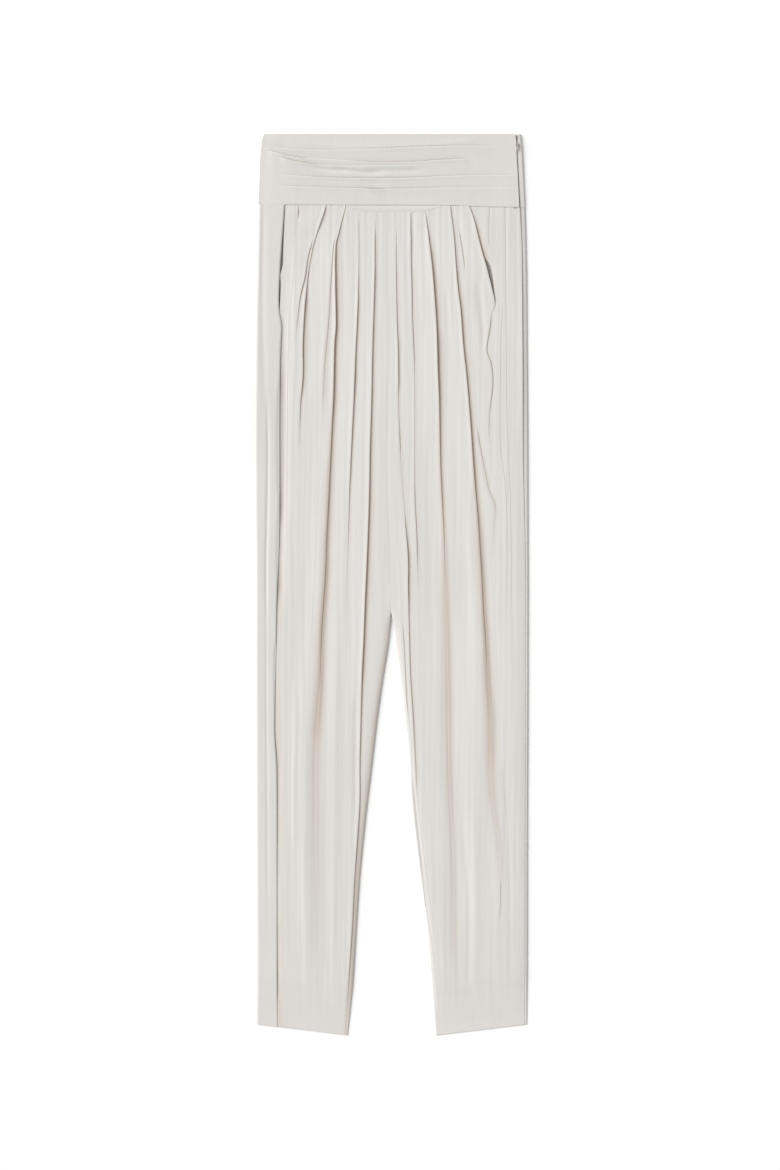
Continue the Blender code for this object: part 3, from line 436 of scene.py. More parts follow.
# The pocket bags, each with its left and right end, and the strip under the waistband; steps
# and insets are shares, down and then across
BAG_TOP = 92.0
BAG_FOOT = 252.0
BAG_SIDES = (("left", (-151.0, -88.0)), ("right", (72.0, 144.0)))
BAG_ROUNDED_FROM = 0.7
BAG_ROUNDING = 20.0
BAG_STEPS = (0.03, 0.05)
STAY_ENDS = (-54.2, 60.0)
STAY_DEPTH = 8.0
STAY_END_DEPTH = 1.2
STAY_SQUARENESS = 4
STAY_STEPS = (0.125, 0.02)
STAY_INSETS = (0.03, 0.002)

# The zip: its tape, its coil, and the thread tack at its foot
TAPE_SIDES = (-5.0, 3.4)
TAPE_ENDS = (2.0, 215.0)
TAPE_STEPS = (4.0, 1.0)
TAPE_FROM_EDGE = 6.2
COIL_ENDS = (16.0, 212.0)
COIL_PITCH = 1.4
COIL_WIDTH = 3.0
COIL_RADIUS = 0.45
COIL_ROUNDING = 0.15
COIL_Z = 2.3
ROD_SEGMENTS = 8
# In radians: the rods' rims are sharper than this, their sides less
ROD_RIM_ANGLE = 1.0
FOOT_TACK = (147.6, 88.6, 3.35)
TACK_TURNS = 9
TACK_STEP = 0.4
TACK_RADIUS = 0.24
TACK_HEIGHT = 0.9

# Rows down a panel, closer together above the thigh, and the support rows beside every edge
TOP_STEP = 4.0
LEG_STEP = 5.5
LEG_FROM = 330.0
EDGE_INSET = 0.2

# Fine ripples: where they grow to full height under the waistband, and how far from the edges
RIPPLES_GROW = (330.0, 110.0)
RIPPLES_FROM_EDGE = 3.0

# The setting in metres, the sensor in millimetres, and the photograph's height in pixels, each
# of which is PIXEL millimetres
FLOOR_HALF = 6.0
FLOOR_DROP = 0.0001
KEY_PLACE = (-5.85, 2.85, 4.4)
CAMERA_OVER = (-0.0018, -0.0003)
SENSOR_WIDTH = 36.0
FRAME_PIXELS = 1170
PIXEL = 1.2


class TrousersSizes(PropertyGroup):
    """Thicknesses and strengths of the cloth's relief."""

    cloth: FloatProperty(
        name="Cloth thickness", description="Thickness of one ply of the crepe",
        default=0.0005, min=0.0002, max=0.001, unit="LENGTH")
    tape: FloatProperty(
        name="Tape thickness", description="Thickness of the zip's woven tape",
        default=0.0006, min=0.0002, max=0.001, unit="LENGTH")
    creases: FloatProperty(
        name="Crease strength", description="Share of full height of the soft creases",
        default=1.0, min=0.0, max=1.5, subtype="FACTOR")
    ripples: FloatProperty(
        name="Ripple height", description="Height of the fine upright ripples in the panels",
        default=0.00006, min=0.0, max=0.001, unit="LENGTH")


class TrousersColours(PropertyGroup):
    """Colours of the cloth, tape, metal and floor."""

    cloth: FloatVectorProperty(
        name="Cloth", description="Ivory of the crepe", subtype="COLOR", size=3,
        default=(0.678, 0.653, 0.622), min=0.0, max=1.0)
    # Pocket cloth darkened past its own colour, as painted shade for the inside of the pockets' mouths; the
    # zip's foot tack takes this colour too
    inner: FloatVectorProperty(
        name="Pocket cloth", description="Cloth of the pocket bags", subtype="COLOR", size=3,
        default=(0.42, 0.39, 0.35), min=0.0, max=1.0)
    tape: FloatVectorProperty(
        name="Zip tape", description="Woven tape of the zip", subtype="COLOR", size=3,
        default=(0.50, 0.43, 0.36), min=0.0, max=1.0)
    metal: FloatVectorProperty(
        name="Zip metal", description="Painted metal of the slider and pull", subtype="COLOR",
        size=3, default=(0.74, 0.64, 0.55), min=0.0, max=1.0)
    floor: FloatVectorProperty(
        name="Floor", description="Plain pale floor", subtype="COLOR", size=3,
        default=(0.97, 0.97, 0.97), min=0.0, max=1.0)


class TrousersSetting(PropertyGroup):
    """Light and camera."""

    key: FloatProperty(
        name="Key light", description="Strength of the soft light from the upper left",
        default=3.4, min=0.0, soft_max=20.0)
    softness: FloatProperty(
        name="Key softness", description="How wide the soft light is, seen from the cloth",
        default=math.radians(54.0), min=0.0, max=math.pi, unit="ROTATION")
    fill: FloatProperty(
        name="Fill light", description="Strength of the even light from all round",
        default=0.47, min=0.0, soft_max=2.0)
    lens: FloatProperty(
        name="Camera lens", description="Focal length of the camera that looks straight down",
        default=100.0, min=20.0, soft_max=300.0, unit="CAMERA")


def point_at(x, down, z):
    """The place of a point given in millimetres."""
    return Vector((x * MM, (FULL_LENGTH / 2 - down) * MM, z * MM))


def eased(value, low, high):
    """The eased share of the way from low to high, kept between 0 and 1."""
    share = min(max((value - low) / (high - low), 0.0), 1.0)
    return share * share * (3.0 - 2.0 * share)


def between(low, high, share):
    """The value a share of the way from low to high."""
    return low + (high - low) * share


def read_line(line, place):
    """The value at one place on a smooth curve through the line's points."""
    last = len(line) - 1
    if place <= line[0][0]:
        return line[0][1]
    if place >= line[last][0]:
        return line[last][1]
    index = max(i for i in range(last) if line[i][0] <= place)

    def slope(i):
        before = line[max(i - 1, 0)]
        after = line[min(i + 1, last)]
        return (after[1] - before[1]) / (after[0] - before[0])

    start, end = line[index], line[index + 1]
    width = end[0] - start[0]
    t = (place - start[0]) / width
    return ((2 * t**3 - 3 * t**2 + 1) * start[1] + (t**3 - 2 * t**2 + t) * width * slope(index)
            + (3 * t**2 - 2 * t**3) * end[1] + (t**3 - t**2) * width * slope(index + 1))


def evenly(low, high, step):
    """Values from low to high, both kept, about one step apart."""
    count = max(1, round((high - low) / step))
    return [between(low, high, i / count) for i in range(count + 1)]


def edged(values, inset):
    """The values with one more just inside each end, which keeps the shading of edges crisp."""
    return [values[0], values[0] + inset, *values[1:-1], values[-1] - inset, values[-1]]


def read_shape(shape, place):
    """The numbers of a shape table at one place, which pass smoothly from row to row."""
    if place <= shape[0][0]:
        return shape[0][1:]
    if place >= shape[-1][0]:
        return shape[-1][1:]
    index = max(i for i in range(len(shape) - 1) if shape[i][0] <= place)
    start, end = shape[index], shape[index + 1]
    share = eased(place, start[0], end[0])
    return [between(low, high, share) for low, high in zip(start[1:], end[1:])]


def fold_states(folds, place, upward=1.0):
    """What each fold is like at one place along it."""
    states = []
    for fold in folds:
        shape = [(*row, *CRISP)[:SHAPE_COLUMNS] for row in fold.shape]
        crest, trough, soft, width = read_shape(shape, place)
        sheer = (crest + trough) * (1.0 - soft)
        pressed = eased(sheer, *LAPS_WHEN) if fold.lap else 0.0
        nose = upward * read_line(fold.line, place)
        gape = read_shape(MOUTH_GAPE, place)[0] if fold.name == "mouth" else 0.0
        states.append(State(nose, crest, trough, soft, width, fold.lap, fold.tail, pressed, gape))
    return states


def fallen(state, x):
    """Share of a fold's soft drop that is behind a point across."""
    return 1.0 / (1.0 + math.exp(-(x - state.nose) / (SOFT_STEEPNESS * state.width)))


def lift(states, passed, x):
    """Height the folds give one point across, when the first ones are to its left."""
    total = 0.0
    for index, state in enumerate(states):
        drop = state.crest + state.trough
        if not drop:
            continue
        away = x - state.nose
        total += DOME_SHARE * drop * math.exp(-((away + DOME_BEFORE) / DOME_WIDTH) ** 2)
        if index >= passed:
            total += state.crest * math.exp(min(away + CREST_HOLD, 0.0) / CREST_WIDTH)
            total -= state.soft * drop * fallen(state, x)
        else:
            total -= state.trough * math.exp(-max(away - state.gape, 0.0) / state.tail)
            total += state.soft * drop * (1.0 - fallen(state, x))
    return total


def shade_at(states, passed, x):
    """Painted shade that the folds' creases put on one point across, from 0 to 1."""
    total = 0.0
    for index, state in enumerate(states):
        deep = min((state.crest + state.trough) / FULL_DROP, 1.0)
        if not deep:
            continue
        away = x - state.nose
        soft_share, reach, full_width = SOFT_SHADE
        soft_share *= state.soft * deep**2 * min(1.0, full_width / state.width)
        total += soft_share * math.exp(-(away / (reach * state.width)) ** 2)
        if index < passed:
            crisp_share, reach, reach_per_trough = CRISP_SHADE
            reach += reach_per_trough * state.trough
            beyond = max(away - state.gape, 0.0)
            crisp_share *= 1.0 - OPEN_LOSES * min(state.gape, 1.0)
            total += (1.0 - state.soft) * deep * crisp_share * math.exp(-beyond / reach)
    return min(total, 1.0)


def over_fold(state, top, foot):
    """Points (x, z) over a fold: a rounded nose and inner turn if it laps, a pinched step if not."""
    drop = top - foot
    stepped = [(state.nose + STEP_RUN * across, top - drop * share) for across, share in STEP]
    if not state.lap:
        return stepped
    # The nose takes the first half of the drop, and the inner turn the second
    turn = max(drop, 0.0) / 4
    lapped = []
    for i in range(NOSE_POINTS):
        angle = math.radians(90 - 180 * i / (NOSE_POINTS - 1))
        lapped.append((-turn + turn * math.cos(angle), 0.25 * (1.0 - math.sin(angle))))
    for i in range(INNER_TURN_POINTS):
        angle = math.radians(90 - 180 * i / (INNER_TURN_POINTS - 1))
        lapped.append((turn - state.lap - turn * math.cos(angle), 0.75 - 0.25 * math.sin(angle)))
    count = len(lapped) - 1
    opened = eased(state.gape, 0.0, MOUTH_OPEN_FROM)
    points = []
    for i, (lapped_x, lapped_share) in enumerate(lapped):
        at = i / count * (len(STEP) - 1)
        low = min(int(at), len(STEP) - 2)
        step_x = between(stepped[low][0], stepped[low + 1][0], at - low)
        step_z = between(stepped[low][1], stepped[low + 1][1], at - low)
        x = between(step_x, state.nose + lapped_x, state.pressed)
        z = between(step_z, top - drop * lapped_share, state.pressed)
        if i >= NOSE_POINTS:
            x = between(x, state.nose + state.gape + (i - NOSE_POINTS) * MOUTH_EDGE_STEP, opened)
            z = between(z, foot, opened)
        points.append((x, z))
    return points


def section_over(start, end, states, counts, level):
    """Points (x, z, shade) from start to end over every fold, on cloth of its own height level(x)."""

    def on_cloth(passed, x):
        return x, level(x) + lift(states, passed, x), shade_at(states, passed, x)

    points = [on_cloth(0, start), on_cloth(0, start + EDGE_INSET)]
    for index, state in enumerate(states):
        before, after = on_cloth(index, state.nose), on_cloth(index + 1, state.nose)
        over = over_fold(state, before[1], after[1])
        first = points[-1][0]
        for i in range(1, counts[index]):
            points.append(on_cloth(index, between(first, over[0][0], i / counts[index])))
        for i, (x, z) in enumerate(over):
            points.append((x, z, between(before[2], after[2], eased(i, 0, 2))))
    first = points[-1][0]
    for i in range(1, counts[-1] + 1):
        points.append(on_cloth(len(states), between(first, end - EDGE_INSET, i / counts[-1])))
    points.append(on_cloth(len(states), end))
    return points


def hem_lift(row, x, inner, edge):
    """How much higher than its row a point lies, because the hem slants up to the side edge."""
    share = (x - inner) / (edge - inner)
    return HEM_SLANT * share * eased(row, HEM_SLANT_FROM, FULL_LENGTH)


def band_hem(x):
    """How far down the waistband's lower edge is at one place across."""
    return read_line(BAND_HEM, x)


def panel_down(row, x, inner, edge):
    """Height of a panel's point: along the waistband at the top, along the hem at the foot."""
    top_share = 1.0 - eased(row, BAND_DEPTH, BAND_PULLS_PANELS_TO)
    at_band = (band_hem(x) - BAND_DEPTH) * top_share
    at_band += PANEL_TOP_DROP[0] * math.exp(-(row - BAND_DEPTH) / PANEL_TOP_DROP[1])
    return row + at_band - hem_lift(row, x, inner, edge)


def inner_edge(row, side):
    """x of a panel's inner edge: the centre seam above the crotch, the inseam below it."""
    if row <= CROTCH_DOWN:
        return read_line(CENTRE_SEAM, row) + side * JOINED_GAP / 2
    return read_line(LEFT_INSEAM if side < 0 else RIGHT_INSEAM, row)


def outer_edge(row, side):
    """x of a front's outer edge, inside its side seam; the left pocket's mouth stands off more."""
    if side > 0:
        return read_line(RIGHT_SIDE_SEAM, row) - SEAM_GAP / 2
    return read_line(LEFT_SIDE_SEAM, row) + SEAM_GAP / 2 + max(0.0, read_line(LEFT_MOUTH, row))


def creases_at(creases, place, strength):
    """(centre, height, half width) of each crease that is there at one height or place across."""
    found = []
    for crease in creases:
        fade = (crease.ends - crease.starts) * CREASE_FADE
        share = eased(place, crease.starts, crease.starts + fade)
        share *= 1.0 - eased(place, crease.ends - fade, crease.ends)
        if share > 0.0:
            found.append((read_line(crease.line, place), crease.height * share * strength, crease.width))
    return found


def relief(found, across):
    """Height that the creases add at one point across."""
    total = 0.0
    for centre, height, width in found:
        away = (across - centre) / width
        if abs(away) < CREASE_REACH:
            total += height * math.exp(-away * away)
    return total


def trough_painted_shade(found, across):
    """Painted shade that narrow troughs put on one point across, from 0 to 1."""
    total = 0.0
    for centre, height, width in found:
        away = (across - centre) / width
        if height < 0.0 and abs(away) < CREASE_REACH:
            total -= height / width * TROUGH_SHADE * math.exp(-away * away)
    return min(total, 1.0)


def ripple(x, down, strength):
    """Fine upright ripples, strongest below the waistband, that wander and fade in and out."""
    # Each divisor is the millimetres in a radian of a wave, and no two waves keep step
    lean = 0.6 * math.sin(down / 61.0) + 0.35 * math.sin(down / 23.0 + x / 17.0)
    waves = math.sin(x / 1.35 + lean) * math.sin(x / 6.1 + down / 97.0)
    waves += 0.8 * math.sin(x / 2.9 - down / 140.0 + lean) * math.sin(down / 75.0 + x / 9.0)
    return waves * strength / MM * between(1.0, 2.0, eased(down, *RIPPLES_GROW))


def new_material(name):
    """A material, its node tree and its shader."""
    made = bpy.data.materials.new(name)
    made.use_nodes = True
    return made, made.node_tree, made.node_tree.nodes["Principled BSDF"]


def add_node(tree, kind, fed=None, **values):
    """A shader node with some settings and inputs filled in; fed links outputs to its inputs."""
    node = tree.nodes.new(kind)
    for name, value in values.items():
        if name in node.inputs:
            node.inputs[name].default_value = value
        else:
            setattr(node, name, value)
    for name, output in (fed or {}).items():
        tree.links.new(output, node.inputs[name])
    return node


def tones(tree, source, dark, light, spread=(0.0, 1.0)):
    """A colour between a dark and a light tone, as the source runs over the spread."""
    ramp = add_node(tree, "ShaderNodeValToRGB", {"Fac": source})
    for element, position, tone in zip(ramp.color_ramp.elements, spread, (dark, light)):
        element.position = position
        element.color = (*tone, 1.0)
    return ramp.outputs["Color"]


def roughened(tree, source, low, high):
    """A roughness between two values, as the source runs from 0 to 1."""
    rough = add_node(tree, "ShaderNodeMapRange", {"Value": source})
    rough.inputs["To Min"].default_value = low
    rough.inputs["To Max"].default_value = high
    return rough.outputs["Result"]


def bumped(tree, height, strength, distance, normal=None):
    """A normal raised by a height, over another normal if one is given."""
    bump = add_node(tree, "ShaderNodeBump", {"Height": height}, Strength=strength, Distance=distance)
    if normal:
        tree.links.new(normal, bump.inputs["Normal"])
    return bump.outputs["Normal"]


def crepe_material(name, colour, grain=0.25, streaks=0.35):
    """Satin crepe: a pebbled grain, faint upright streaks, a little colour drift, sheen, and painted shade
    read from a point attribute.
    """
    made, tree, shader = new_material(name)
    place = add_node(tree, "ShaderNodeTexCoord").outputs["Object"]
    upright = add_node(tree, "ShaderNodeMapping", {"Vector": place}, Scale=(420.0, 16.0, 420.0))
    streak = add_node(tree, "ShaderNodeTexNoise", {"Vector": upright.outputs["Vector"]},
                      Scale=1.0, Detail=5.0, Roughness=0.6).outputs["Fac"]
    pebble = add_node(tree, "ShaderNodeTexNoise", {"Vector": place},
                      Scale=2300.0, Detail=3.0, Roughness=0.65).outputs["Fac"]
    weave = add_node(tree, "ShaderNodeTexVoronoi", {"Vector": place},
                     Scale=1500.0, Randomness=0.75).outputs["Distance"]
    drift = add_node(tree, "ShaderNodeTexNoise", {"Vector": place},
                     Scale=7.0, Detail=4.0, Roughness=0.55).outputs["Fac"]
    joined = add_node(tree, "ShaderNodeMix", {"A": drift, "B": streak}, Factor=0.45)
    dark = [c * 0.955 for c in colour]
    light = [min(c * 1.03, 1.0) for c in colour]
    plain = tones(tree, joined.outputs["Result"], dark, light, (0.28, 0.72))
    # Painted shade: where the point attribute is high, the colour is darkened towards warm brown, standing
    # for shade in creases, folds and along edges
    crease = add_node(tree, "ShaderNodeAttribute", attribute_name=PAINTED_SHADE_LAYER)
    painted_shade = add_node(tree, "ShaderNodeMix", {"Factor": crease.outputs["Fac"]},
                    data_type="RGBA", blend_type="MULTIPLY")
    # A colour mix has its two colours at inputs 6 and 7 and its result at output 2
    tree.links.new(plain, painted_shade.inputs[6])
    painted_shade.inputs[7].default_value = (*PAINTED_SHADE_TINT, 1.0)
    tree.links.new(painted_shade.outputs[2], shader.inputs["Base Color"])
    tree.links.new(roughened(tree, pebble, 0.46, 0.62), shader.inputs["Roughness"])
    normal = bumped(tree, streak, streaks, 0.00012)
    for height in (weave, pebble):
        normal = bumped(tree, height, grain, 0.00008, normal)
    tree.links.new(normal, shader.inputs["Normal"])
    shader.inputs["Specular IOR Level"].default_value = 0.35
    shader.inputs["Sheen Weight"].default_value = 0.05
    shader.inputs["Sheen Roughness"].default_value = 0.45
    return made


def tape_material(name, colour):
    """Woven tape: fine ribs across it and a matte face."""
    made, tree, shader = new_material(name)
    place = add_node(tree, "ShaderNodeTexCoord").outputs["Object"]
    ribs = add_node(tree, "ShaderNodeTexWave", {"Vector": place}, Scale=520.0, Distortion=0.6,
                    bands_direction="Y")
    fluff = add_node(tree, "ShaderNodeTexNoise", {"Vector": place}, Scale=900.0, Detail=3.0)
    tone = tones(tree, fluff.outputs["Fac"], [c * 0.85 for c in colour], colour)
    tree.links.new(tone, shader.inputs["Base Color"])
    tree.links.new(bumped(tree, ribs.outputs["Fac"], 0.6, 0.0001), shader.inputs["Normal"])
    shader.inputs["Roughness"].default_value = 0.8
    return made


def metal_material(name, colour, metallic=0.7):
    """Lacquered zip metal, or its nylon coil, with a faint brushed grain."""
    made, tree, shader = new_material(name)
    place = add_node(tree, "ShaderNodeTexCoord").outputs["Object"]
    brushed = add_node(tree, "ShaderNodeMapping", {"Vector": place}, Scale=(3000.0, 300.0, 3000.0))
    grain = add_node(tree, "ShaderNodeTexNoise", {"Vector": brushed.outputs["Vector"]},
                     Scale=1.0, Detail=2.0).outputs["Fac"]
    tone = tones(tree, grain, [c * 0.85 for c in colour], colour)
    tree.links.new(tone, shader.inputs["Base Color"])
    tree.links.new(roughened(tree, grain, 0.28, 0.42), shader.inputs["Roughness"])
    shader.inputs["Metallic"].default_value = metallic
    return made


def floor_material(name, colour):
    """Plain matte floor with a barely seen unevenness."""
    made, tree, shader = new_material(name)
    place = add_node(tree, "ShaderNodeTexCoord").outputs["Object"]
    drift = add_node(tree, "ShaderNodeTexNoise", {"Vector": place}, Scale=3.0, Detail=2.0)
    tone = tones(tree, drift.outputs["Fac"], [c * 0.99 for c in colour], colour)
    tree.links.new(tone, shader.inputs["Base Color"])
    shader.inputs["Roughness"].default_value = 0.9
    shader.inputs["Specular IOR Level"].default_value = 0.1
    return made


def add_object(name, shape, material):
    """An object made from a bmesh, with its material."""
    mesh = bpy.data.meshes.new(name)
    shape.to_mesh(mesh)
    shape.free()
    mesh.materials.append(material)
    made = bpy.data.objects.new(name, mesh)
    bpy.context.scene.collection.objects.link(made)
    return made


def cloth_piece(name, sections, thickness, material, cut=None):
    """A thin cloth through rows of section points; cut is (column, rows) of an open slit."""
    columns = len(sections[0])
    rows = len(sections)
    shape = bmesh.new()
    bmesh.ops.create_grid(shape, x_segments=columns - 1, y_segments=rows - 1, size=1.0)
    opened = []
    if cut:
        for face in shape.faces:
            middle = face.calc_center_median()
            column = int((middle.x + 1.0) / 2.0 * (columns - 1))
            row = int((1.0 - middle.y) / 2.0 * (rows - 1))
            if column == cut[0] and row < cut[1]:
                opened.append(face)
    # Section points may carry painted shade, which goes into a point attribute
    shaded = isinstance(sections[0][0], tuple)
    layer = shape.verts.layers.float.new(PAINTED_SHADE_LAYER) if shaded else None
    for vertex in shape.verts:
        column = round((vertex.co.x + 1.0) / 2.0 * (columns - 1))
        row = round((1.0 - vertex.co.y) / 2.0 * (rows - 1))
        place = sections[row][column]
        if shaded:
            place, vertex[layer] = place
        vertex.co = place
    if opened:
        bmesh.ops.delete(shape, geom=opened, context="FACES")
    made = add_object(name, shape, material)
    made.data.shade_smooth()
    wall = made.modifiers.new("ply", "SOLIDIFY")
    wall.thickness = thickness
    wall.offset = 0.0
    wall.use_even_offset = False
    wall.use_rim = True
    return made


def settle(piece, node):
    """Puts a cloth piece on the garment's body and hides the solid that it stands for."""
    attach(piece, GARMENT)
    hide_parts(node)


def panel_rows():
    """Heights of the rows down a panel."""
    rows = evenly(BAND_DEPTH, LEG_FROM, TOP_STEP) + evenly(LEG_FROM, FULL_LENGTH, LEG_STEP)[1:]
    return edged(rows, EDGE_INSET)


def front_row(row, front, sizes):
    """One row of places across a front panel, from left to right."""
    inner, outer = inner_edge(row, front.side), outer_edge(row, front.side)
    edge = read_line(LEFT_EDGE if front.side < 0 else RIGHT_EDGE, row)
    outer_z = read_line(front.edge_z, row)
    found = creases_at(front.creases, row, sizes.creases)
    loft = 1.0 - HEM_SETTLES * eased(row, HEM_THINS_FROM, FULL_LENGTH)
    below = eased(row, CROTCH_DOWN + INSEAM_STARTS[0], CROTCH_DOWN + INSEAM_STARTS[1])
    turn_up = TURN_UP_DIP * math.exp(-((row - TURN_UP_DOWN) / TURN_UP_WIDTH) ** 2)

    def level(x):
        from_inner, from_outer = abs(x - inner), abs(x - outer)
        shown = eased(min(from_inner, from_outer), 0.0, RIPPLES_FROM_EDGE)
        z = FRONT_Z + relief(found, x) + ripple(x, row, sizes.ripples) * shown - turn_up
        z -= below * (FRONT_Z - INSEAM_Z) * math.exp(-from_inner / INSEAM_ROUNDING)
        return z + (outer_z - FRONT_Z) * math.exp(-from_outer / OUTER_WIDTH)

    start, end = sorted((inner, outer))
    counts = [fold.points for fold in front.folds] + [front.last_points]
    section = section_over(start, end, fold_states(front.folds, row), counts, level)
    # Painted shade from the folds' creases, narrow troughs, the left inseam and the left front's outer edge
    inseam_shade, inseam_reach = INSEAM_SHADE
    places = []
    for x, z, shade in section:
        shade += trough_painted_shade(found, x)
        if front.side < 0:
            shade += below * inseam_shade * math.exp(-abs(x - inner) / inseam_reach)
            shade += EDGE_SHADE * max(0.0, FRONT_Z - outer_z) * math.exp(-abs(x - outer) / OUTER_WIDTH)
        place = point_at(x, panel_down(row, x, inner, edge), HEM_LIES_AT + (z - HEM_LIES_AT) * loft)
        places.append((place, min(shade, 1.0)))
    return places


def mouth_slit(folds):
    """Where a front is open along a pocket's mouth: its column and rows, or None without one."""
    column = 1
    for fold in folds:
        if fold.name == "mouth":
            return column + fold.points + NOSE_POINTS - 1, sum(row < POCKET_END for row in panel_rows())
        column += fold.points - 1 + (NOSE_POINTS + INNER_TURN_POINTS if fold.lap else len(STEP))
    return None


def edge_turn(edge, top_z, side, half_ply, reach=None):
    """Points (x, z) of a turn that takes the cloth over its side edge, from below."""
    radius = (top_z - BACK_Z) / 2
    reach = reach or radius
    middle_x = edge - side * half_ply
    points = []
    for i in range(SIDE_TURN_POINTS):
        turn = math.radians(-90 + 180 * i / (SIDE_TURN_POINTS - 1))
        across = radius if i < SIDE_TURN_POINTS // 2 else reach
        x = middle_x - side * across * (1.0 - math.cos(turn))
        points.append((x, BACK_Z + radius + radius * math.sin(turn)))
    return points


def back_row(row, back, sizes):
    """One row of places across a back panel: flat beneath, round the side, over the front."""
    side = back.side
    inner = inner_edge(row, side)
    edge = read_line(back.edge, row)
    seam = read_line(back.seam, row) + side * SEAM_GAP / 2
    wrap_z = read_line(back.wrap_z, row)
    found = creases_at(back.creases, row, sizes.creases)
    softness = read_line(SEAM_SOFTNESS, row)
    depth, width = [between(crisp, soft, softness) for crisp, soft in zip(*back.roll)]
    reach = min(back.reach, abs(edge - seam) - LEAST_WRAP)
    turn = edge_turn(edge, wrap_z, side, sizes.cloth / MM / 2, reach)
    loft = 1.0 - BACK_SETTLES * HEM_SETTLES * eased(row, HEM_THINS_FROM, FULL_LENGTH)
    under = [0.0, EDGE_INSET / abs(turn[0][0] - inner)]
    under.extend(i / BACK_UNDER_POINTS for i in range(1, BACK_UNDER_POINTS))
    section = [(between(inner, turn[0][0], share), BACK_Z) for share in under]
    section.extend(turn)
    last_x, last_z = turn[-1]
    for share in edged(evenly(0.0, 1.0, 1 / back.points), EDGE_INSET / abs(seam - last_x))[2:]:
        x = between(last_x, seam, share)
        dropped = depth * eased(abs(seam - x), width, 0.0)
        z = last_z + relief(found, x) * eased(share, 0.0, STRIP_CREASES_START) - dropped
        section.append((x, z))
    shaded_to = len(under) + len(turn)
    # Painted shade that darkens the side turn from just below its top downwards
    least, most = SIDE_SHADE_DROP
    places = []
    for i, (x, z) in enumerate(section):
        down = panel_down(row, x, inner, edge)
        shade = SIDE_SHADE * eased(wrap_z - z, least, wrap_z * most) if i < shaded_to else 0.0
        places.append((point_at(x, down, BACK_Z + (z - BACK_Z) * loft), shade))
    return places


def band_column(share, strength):
    """One column of places down the front of the waistband, over its tucks."""
    rough_x = between(*BAND_RUN, share)
    found = creases_at(BAND_CREASES, rough_x, strength)
    hem = band_hem(rough_x)
    edge_z = between(BAND_EDGE_Z[0], BAND_Z, eased(share, 0.0, BAND_EDGE_Z[1]))
    hem_share = eased(share, 0.0, BAND_HEM_LIFT_FADE)
    hem_share *= 1.0 - eased(share, 1.0 - BAND_HEM_LIFT_FADE, 1.0)

    def level(height):
        from_hem = hem + height
        z = edge_z + relief(found, -height)
        z += BAND_HEM_LIFT[0] * hem_share * math.exp(-from_hem / BAND_HEM_LIFT[1])
        return z - BAND_HEM_ROLL[0] * math.exp(-from_hem / BAND_HEM_ROLL[1])

    counts = [tuck.points for tuck in TUCKS] + [TUCK_LAST_POINTS]
    states = [state._replace(crest=state.crest * TUCK_HEIGHT, trough=state.trough * TUCK_HEIGHT)
              for state in fold_states(TUCKS, rough_x, -1.0)]
    section = section_over(-hem, 0.0, states, counts, level)
    places = []
    for height, z, shade in reversed(section):
        left = read_line(LEFT_EDGE, -height) + BAND_FROM_EDGE
        right = read_line(BAND_END, -height)
        # Painted shade of the tucks and creases, kept faint on the band
        shade = min(shade + trough_painted_shade(found, -height), 1.0) * BAND_SHADE
        places.append((point_at(between(left, right, share), -height, z), shade))
    return places


def band_back_row(down, half_ply):
    """One row of places across the back of the waistband, and round the side to the zip."""
    left = read_line(LEFT_EDGE, down)
    wrap_z = between(*BAND_WRAP_Z, down / BAND_DEPTH)
    turn = edge_turn(read_line(RIGHT_EDGE, down), wrap_z, 1, half_ply)
    first_x, last_x = turn[0][0], turn[-1][0]
    reach = min(read_line(BAND_WRAP_END, down), last_x - BAND_LEAST_WRAP)
    section = [(between(left, first_x, i / BAND_BACK_POINTS), BACK_Z) for i in range(BAND_BACK_POINTS)]
    section.extend(turn)
    for part in BAND_WRAP_SHARES:
        section.append((between(last_x, reach, part), wrap_z + BAND_WRAP_CLIMB * eased(part, 0, 0.5)))
    return [point_at(x, down * band_hem(x) / BAND_DEPTH, z) for x, z in section]


def stay_rows():
    """Rows of the narrow bowed strip that shows under the middle of the waistband."""
    shares, alongs = [edged(evenly(0.0, 1.0, step), inset)
                      for step, inset in zip(STAY_STEPS, STAY_INSETS)]
    rows = []
    for share in shares:
        row = []
        for along in alongs:
            x = between(*STAY_ENDS, along)
            depth = STAY_DEPTH * (1.0 - abs(2 * along - 1.0) ** STAY_SQUARENESS) + STAY_END_DEPTH
            down = band_hem(x) + SEAM_GAP + depth * share
            row.append(point_at(x, down, read_line(STAY_Z, share)))
        rows.append(row)
    return rows


def bag_rows(left, right):
    """Rows of one ply of a pocket bag with a rounded foot."""
    row_step, column_step = BAG_STEPS
    rows = []
    for share in evenly(0.0, 1.0, row_step):
        rounded = max(0.0, share - BAG_ROUNDED_FROM) / (1.0 - BAG_ROUNDED_FROM)
        pull_in = BAG_ROUNDING * rounded**2
        down = between(BAG_TOP, BAG_FOOT, share)
        rows.append([point_at(between(left + pull_in, right - pull_in, part), down, BAG_Z)
                     for part in evenly(0.0, 1.0, column_step)])
    return rows


def tape_middle(down):
    """x of the middle of the zip at one height."""
    if down < BAND_DEPTH:
        middle = (read_line(BAND_END, down) + read_line(BAND_WRAP_END, down)) / 2
    else:
        middle = read_line(RIGHT_SIDE_SEAM, down)
    return min(middle, read_line(RIGHT_EDGE, down) - TAPE_FROM_EDGE)


def add_rod(shape, place, axis, radius, length):
    """A short capped rod added to a bmesh, turned a quarter from upright about an axis."""
    lying = Matrix.Translation(place) @ Matrix.Rotation(math.pi / 2, 4, axis)
    bmesh.ops.create_cone(shape, cap_ends=True, segments=ROD_SEGMENTS, radius1=radius * MM,
                          radius2=radius * MM, depth=length * MM, matrix=lying)


